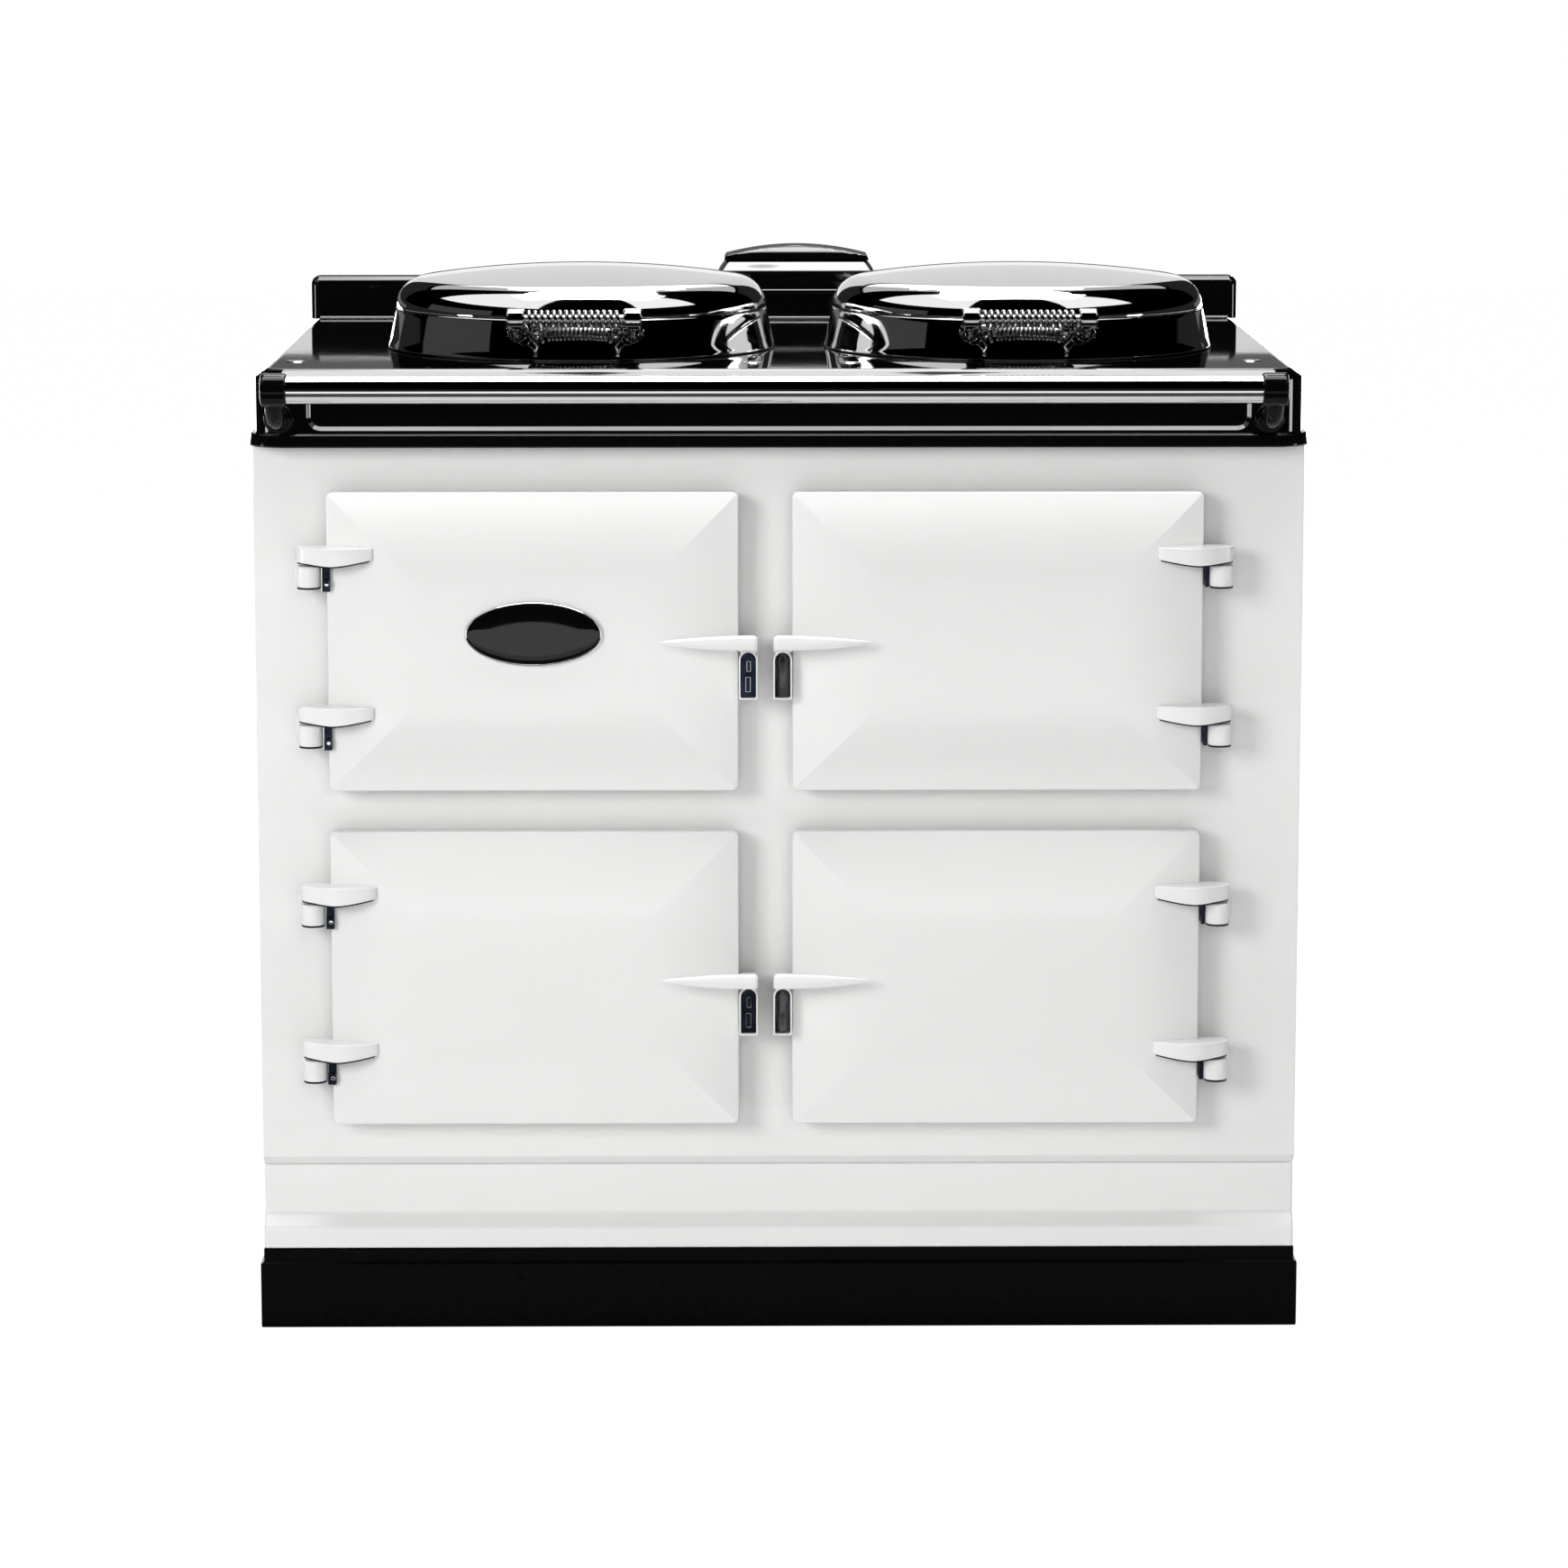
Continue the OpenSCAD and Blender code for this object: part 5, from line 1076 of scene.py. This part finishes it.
FLOOR_HALF, FLOOR_GREY, FLOOR_WHITE = 14, (0.72, 0.72, 0.72, 1), 1.06
FLOOR_GLOW = 0.93  # how much of the camera's view of the floor is plain white
FILL = 0.20  # the world's light on everything but what the camera and reflections see
CARD_Z = 0.95  # height of the middle of the dome of cards


def add_object(name, data):
    """Links a new object for this data into the scene."""
    obj = bpy.data.objects.new(name, data)
    bpy.context.scene.collection.objects.link(obj)
    return obj


def camera():
    """The photograph's viewpoint, fitted to the edges of the body, the doors and the lids."""
    data = bpy.data.cameras.new("photo_camera")
    cam = add_object("photo_camera", data)
    data.lens = 117.73
    data.sensor_width = 36
    data.shift_y = -0.06
    cam.location = to_row((-38.5, -4753.7, 1323.7))
    cam.rotation_euler = (math.radians(90 - 8.496), 0, math.radians(-0.519))
    data.clip_start, data.clip_end = 0.05, 60
    bpy.context.scene.camera = cam


def stage_mesh(name, verts, faces, material):
    """A mesh in metres that belongs to the studio and not to the object."""
    mesh = bpy.data.meshes.new(name)
    mesh.from_pydata(verts, [], faces)
    mesh.materials.append(material)
    obj = add_object(name, mesh)
    return obj


def empty_material(name):
    """A material with nothing but an output: the material, its node tree and the output."""
    m = bpy.data.materials.new(name)
    m.use_nodes = True
    m.node_tree.nodes.clear()
    return m, m.node_tree, add_node(m.node_tree, "OutputMaterial")


def floor():
    """A white floor that keeps the object's soft shadow."""
    m, tree, out = empty_material("studio_floor")
    matt = add_node(tree, "BsdfDiffuse", Color=FLOOR_GREY)
    glow = add_node(tree, "Emission", Strength=FLOOR_WHITE)
    mix = add_node(tree, "MixShader")
    path = add_node(tree, "LightPath")
    seen = add_node(tree, "Math")
    seen.operation = "MULTIPLY"
    seen.inputs[1].default_value = FLOOR_GLOW
    tree.links.new(path.outputs["Is Camera Ray"], seen.inputs[0])
    for k, source in enumerate((seen, matt, glow)):
        tree.links.new(source.outputs[0], mix.inputs[k])
    tree.links.new(mix.outputs[0], out.inputs["Surface"])
    s = FLOOR_HALF
    stage_mesh("floor", [(-s, -s, 0), (s, -s, 0), (s, s, 0), (-s, s, 0)], [(0, 1, 2, 3)], m)


def world():
    """White where the camera, metal or glass sees it, and a plain level of fill light elsewhere."""
    w = bpy.data.worlds.new("studio")
    bpy.context.scene.world = w
    w.use_nodes = True
    tree = w.node_tree
    back = tree.nodes["Background"]
    back.inputs["Color"].default_value = (1, 1, 1, 1)
    path = add_node(tree, "LightPath")
    seen = path.outputs["Is Camera Ray"]
    for ray in ("Is Glossy Ray", "Is Transmission Ray"):
        either = add_node(tree, "Math")
        either.operation = "MAXIMUM"
        tree.links.new(seen, either.inputs[0])
        tree.links.new(path.outputs[ray], either.inputs[1])
        seen = either.outputs[0]
    level = add_node(tree, "MapRange", To_Min=FILL, To_Max=1.0)
    tree.links.new(seen, level.inputs["Value"])
    tree.links.new(level.outputs[0], back.inputs["Strength"])


def lamp(name, place, target, size, energy, glossy=True):
    """A rectangular lamp aimed at a point."""
    data = bpy.data.lights.new(name, "AREA")
    data.shape = "RECTANGLE"
    data.size, data.size_y = size
    data.energy = energy
    obj = add_object(name, data)
    obj.location = place
    obj.rotation_euler = (Vector(target) - Vector(place)).to_track_quat("-Z", "Y").to_euler()
    obj.visible_glossy = glossy


def lamps():
    """A key from the left, an overhead panel and a weak front fill."""
    middle = (0, FACE_Y, 0.55)
    lamp("key", (-2.75, -3.9, 2.1), middle, (1.7, 1.7), 97, glossy=False)
    lamp("overhead", (0, -0.4, 3.4), (0, -0.1, 0.9), (2.6, 1.0), 95)
    lamp("front_fill", (0.6, -5.5, 1.6), middle, (3.0, 2.4), 60, glossy=False)


def reflection_card(name, verts, faces, strength):
    """A glowing mesh that only reflections see."""
    m, tree, out = empty_material(name)
    glow = add_node(tree, "Emission", Strength=strength)
    tree.links.new(glow.outputs[0], out.inputs["Surface"])
    obj = stage_mesh(name, verts, faces, m)
    obj.visible_camera = obj.visible_diffuse = obj.visible_shadow = False
    obj.visible_transmission = obj.visible_volume_scatter = False


def card(name, radius, low, high, start, end, strength, n=64):
    """Part of a wide dome round the object: dark like a flag, or bright like a soft box."""
    verts, faces = [], []
    rows = max(2, int((high - low) / 6) + 1)
    for k in range(n + 1):
        a = math.radians(start + (end - start) * k / n)
        for row in range(rows):
            e = math.radians(low + (high - low) * row / (rows - 1))
            verts.append((radius * math.sin(a) * math.cos(e), -radius * math.cos(a) * math.cos(e),
                          CARD_Z + radius * math.sin(e)))
    for k in range(n):
        for row in range(rows - 1):
            i = k * rows + row
            faces.append((i, i + 1, i + rows + 1, i + rows))
    reflection_card(name, verts, faces, strength)


def flat_card(name, low, high, strength):
    """A flat card between two corners, level or upright."""
    corners = [low, (high[0], low[1], low[2]), high, (low[0], high[1], high[2])]
    reflection_card(name, corners, [(0, 1, 2, 3)], strength)


# radius in metres, lowest and highest angle above the level, angles round from the front, and strength
CARDS = {
    "front_card_0": (3.0, -19, -9, -138, 138, 1.3),
    "front_card_1": (3.0, -9, 7, -138, 138, 0.02),
    "front_card_2": (3.0, 7, 30, -138, 138, 0.0),
    "front_card_3": (3.0, 30, 58, -138, 138, 0.0),
    "front_card_4": (3.0, 58, 86, -138, 138, 0.0),
    "soft_box_left": (2.9, 30, 80, -108, -30, 1.25),
    "soft_box_right": (2.9, 30, 80, 34, 80, 1.3),
    "grey_card_left": (2.9, 6, 17, -104, -56, 0.06),
    "back_box": (3.0, 31, 66, 158, 202, 2.0),
    "back_high": (2.86, 62, 85, 150, 210, 15),
    "edge_strip_left": (2.86, 68, 80, 210, 258, 15),
    "edge_strip_right": (2.86, 68, 80, 102, 150, 15),
    "zenith_box": (2.85, 84.5, 89.5, -180, 180, 16),
    "back_wall": (3.0, 7, 28, 162, 198, 0.8),
    "back_strip": (2.95, 52, 57, 150, 210, 25),
    "back_sky": (3.2, 28, 88, 130, 230, 0.6),
    "back_flag_high": (3.0, 28, 30.5, 120, 240, 0.0),
    "back_flag_low": (4.2, -3, 1.5, 120, 240, 0.0),
    "upright_strip_0": (2.9, -9, -1, -78, -68, 11),
    "upright_box_0": (2.9, -9, -1, -165, -140, 9),
    "side_flag_0": (3.0, -1, 28, -161, -138, 0.02),
    "upright_strip_1": (2.9, -9, -1, 68, 78, 11),
    "upright_box_1": (2.9, -9, -1, 140, 165, 9),
    "side_flag_1": (3.0, -1, 28, 138, 161, 0.02),
}


def cards():
    """The studio as polished surfaces see it: a dark camera side with soft boxes and strips."""
    for name, values in CARDS.items():
        card(name, *values)
    flat_card("back_card", (-0.8, 0.40, 0.9605), (0.8, 0.40, 0.996), 0.16)
    flat_card("floor_card", (-3.0, -2.2, 0.004), (3.0, -1.0, 0.004), 0.08)


# ---- the whole scene ----

camera()
world()
floor()
lamps()
cards()
finish_cad_nodes()
for door in DOORS:
    door_cushion(door)
    hinge_lugs(door)
    door_handle(door)
    door_latch(door)
    hinge_straps_and_shade(door)
door_badge()
hinge_blocks()
top_plate()
plugs()
upstand()
flue_chamber()
flue_cap()
hand_rail()
rail_brackets()
for lid in LIDS:
    lid_dome(lid)
    lid_base(lid)
    lid_handle(lid)
    coil_grip(lid)
    lid_arm(lid)
    hotplate(lid)
knob()

scene = bpy.context.scene
scene.view_settings.view_transform = "Standard"
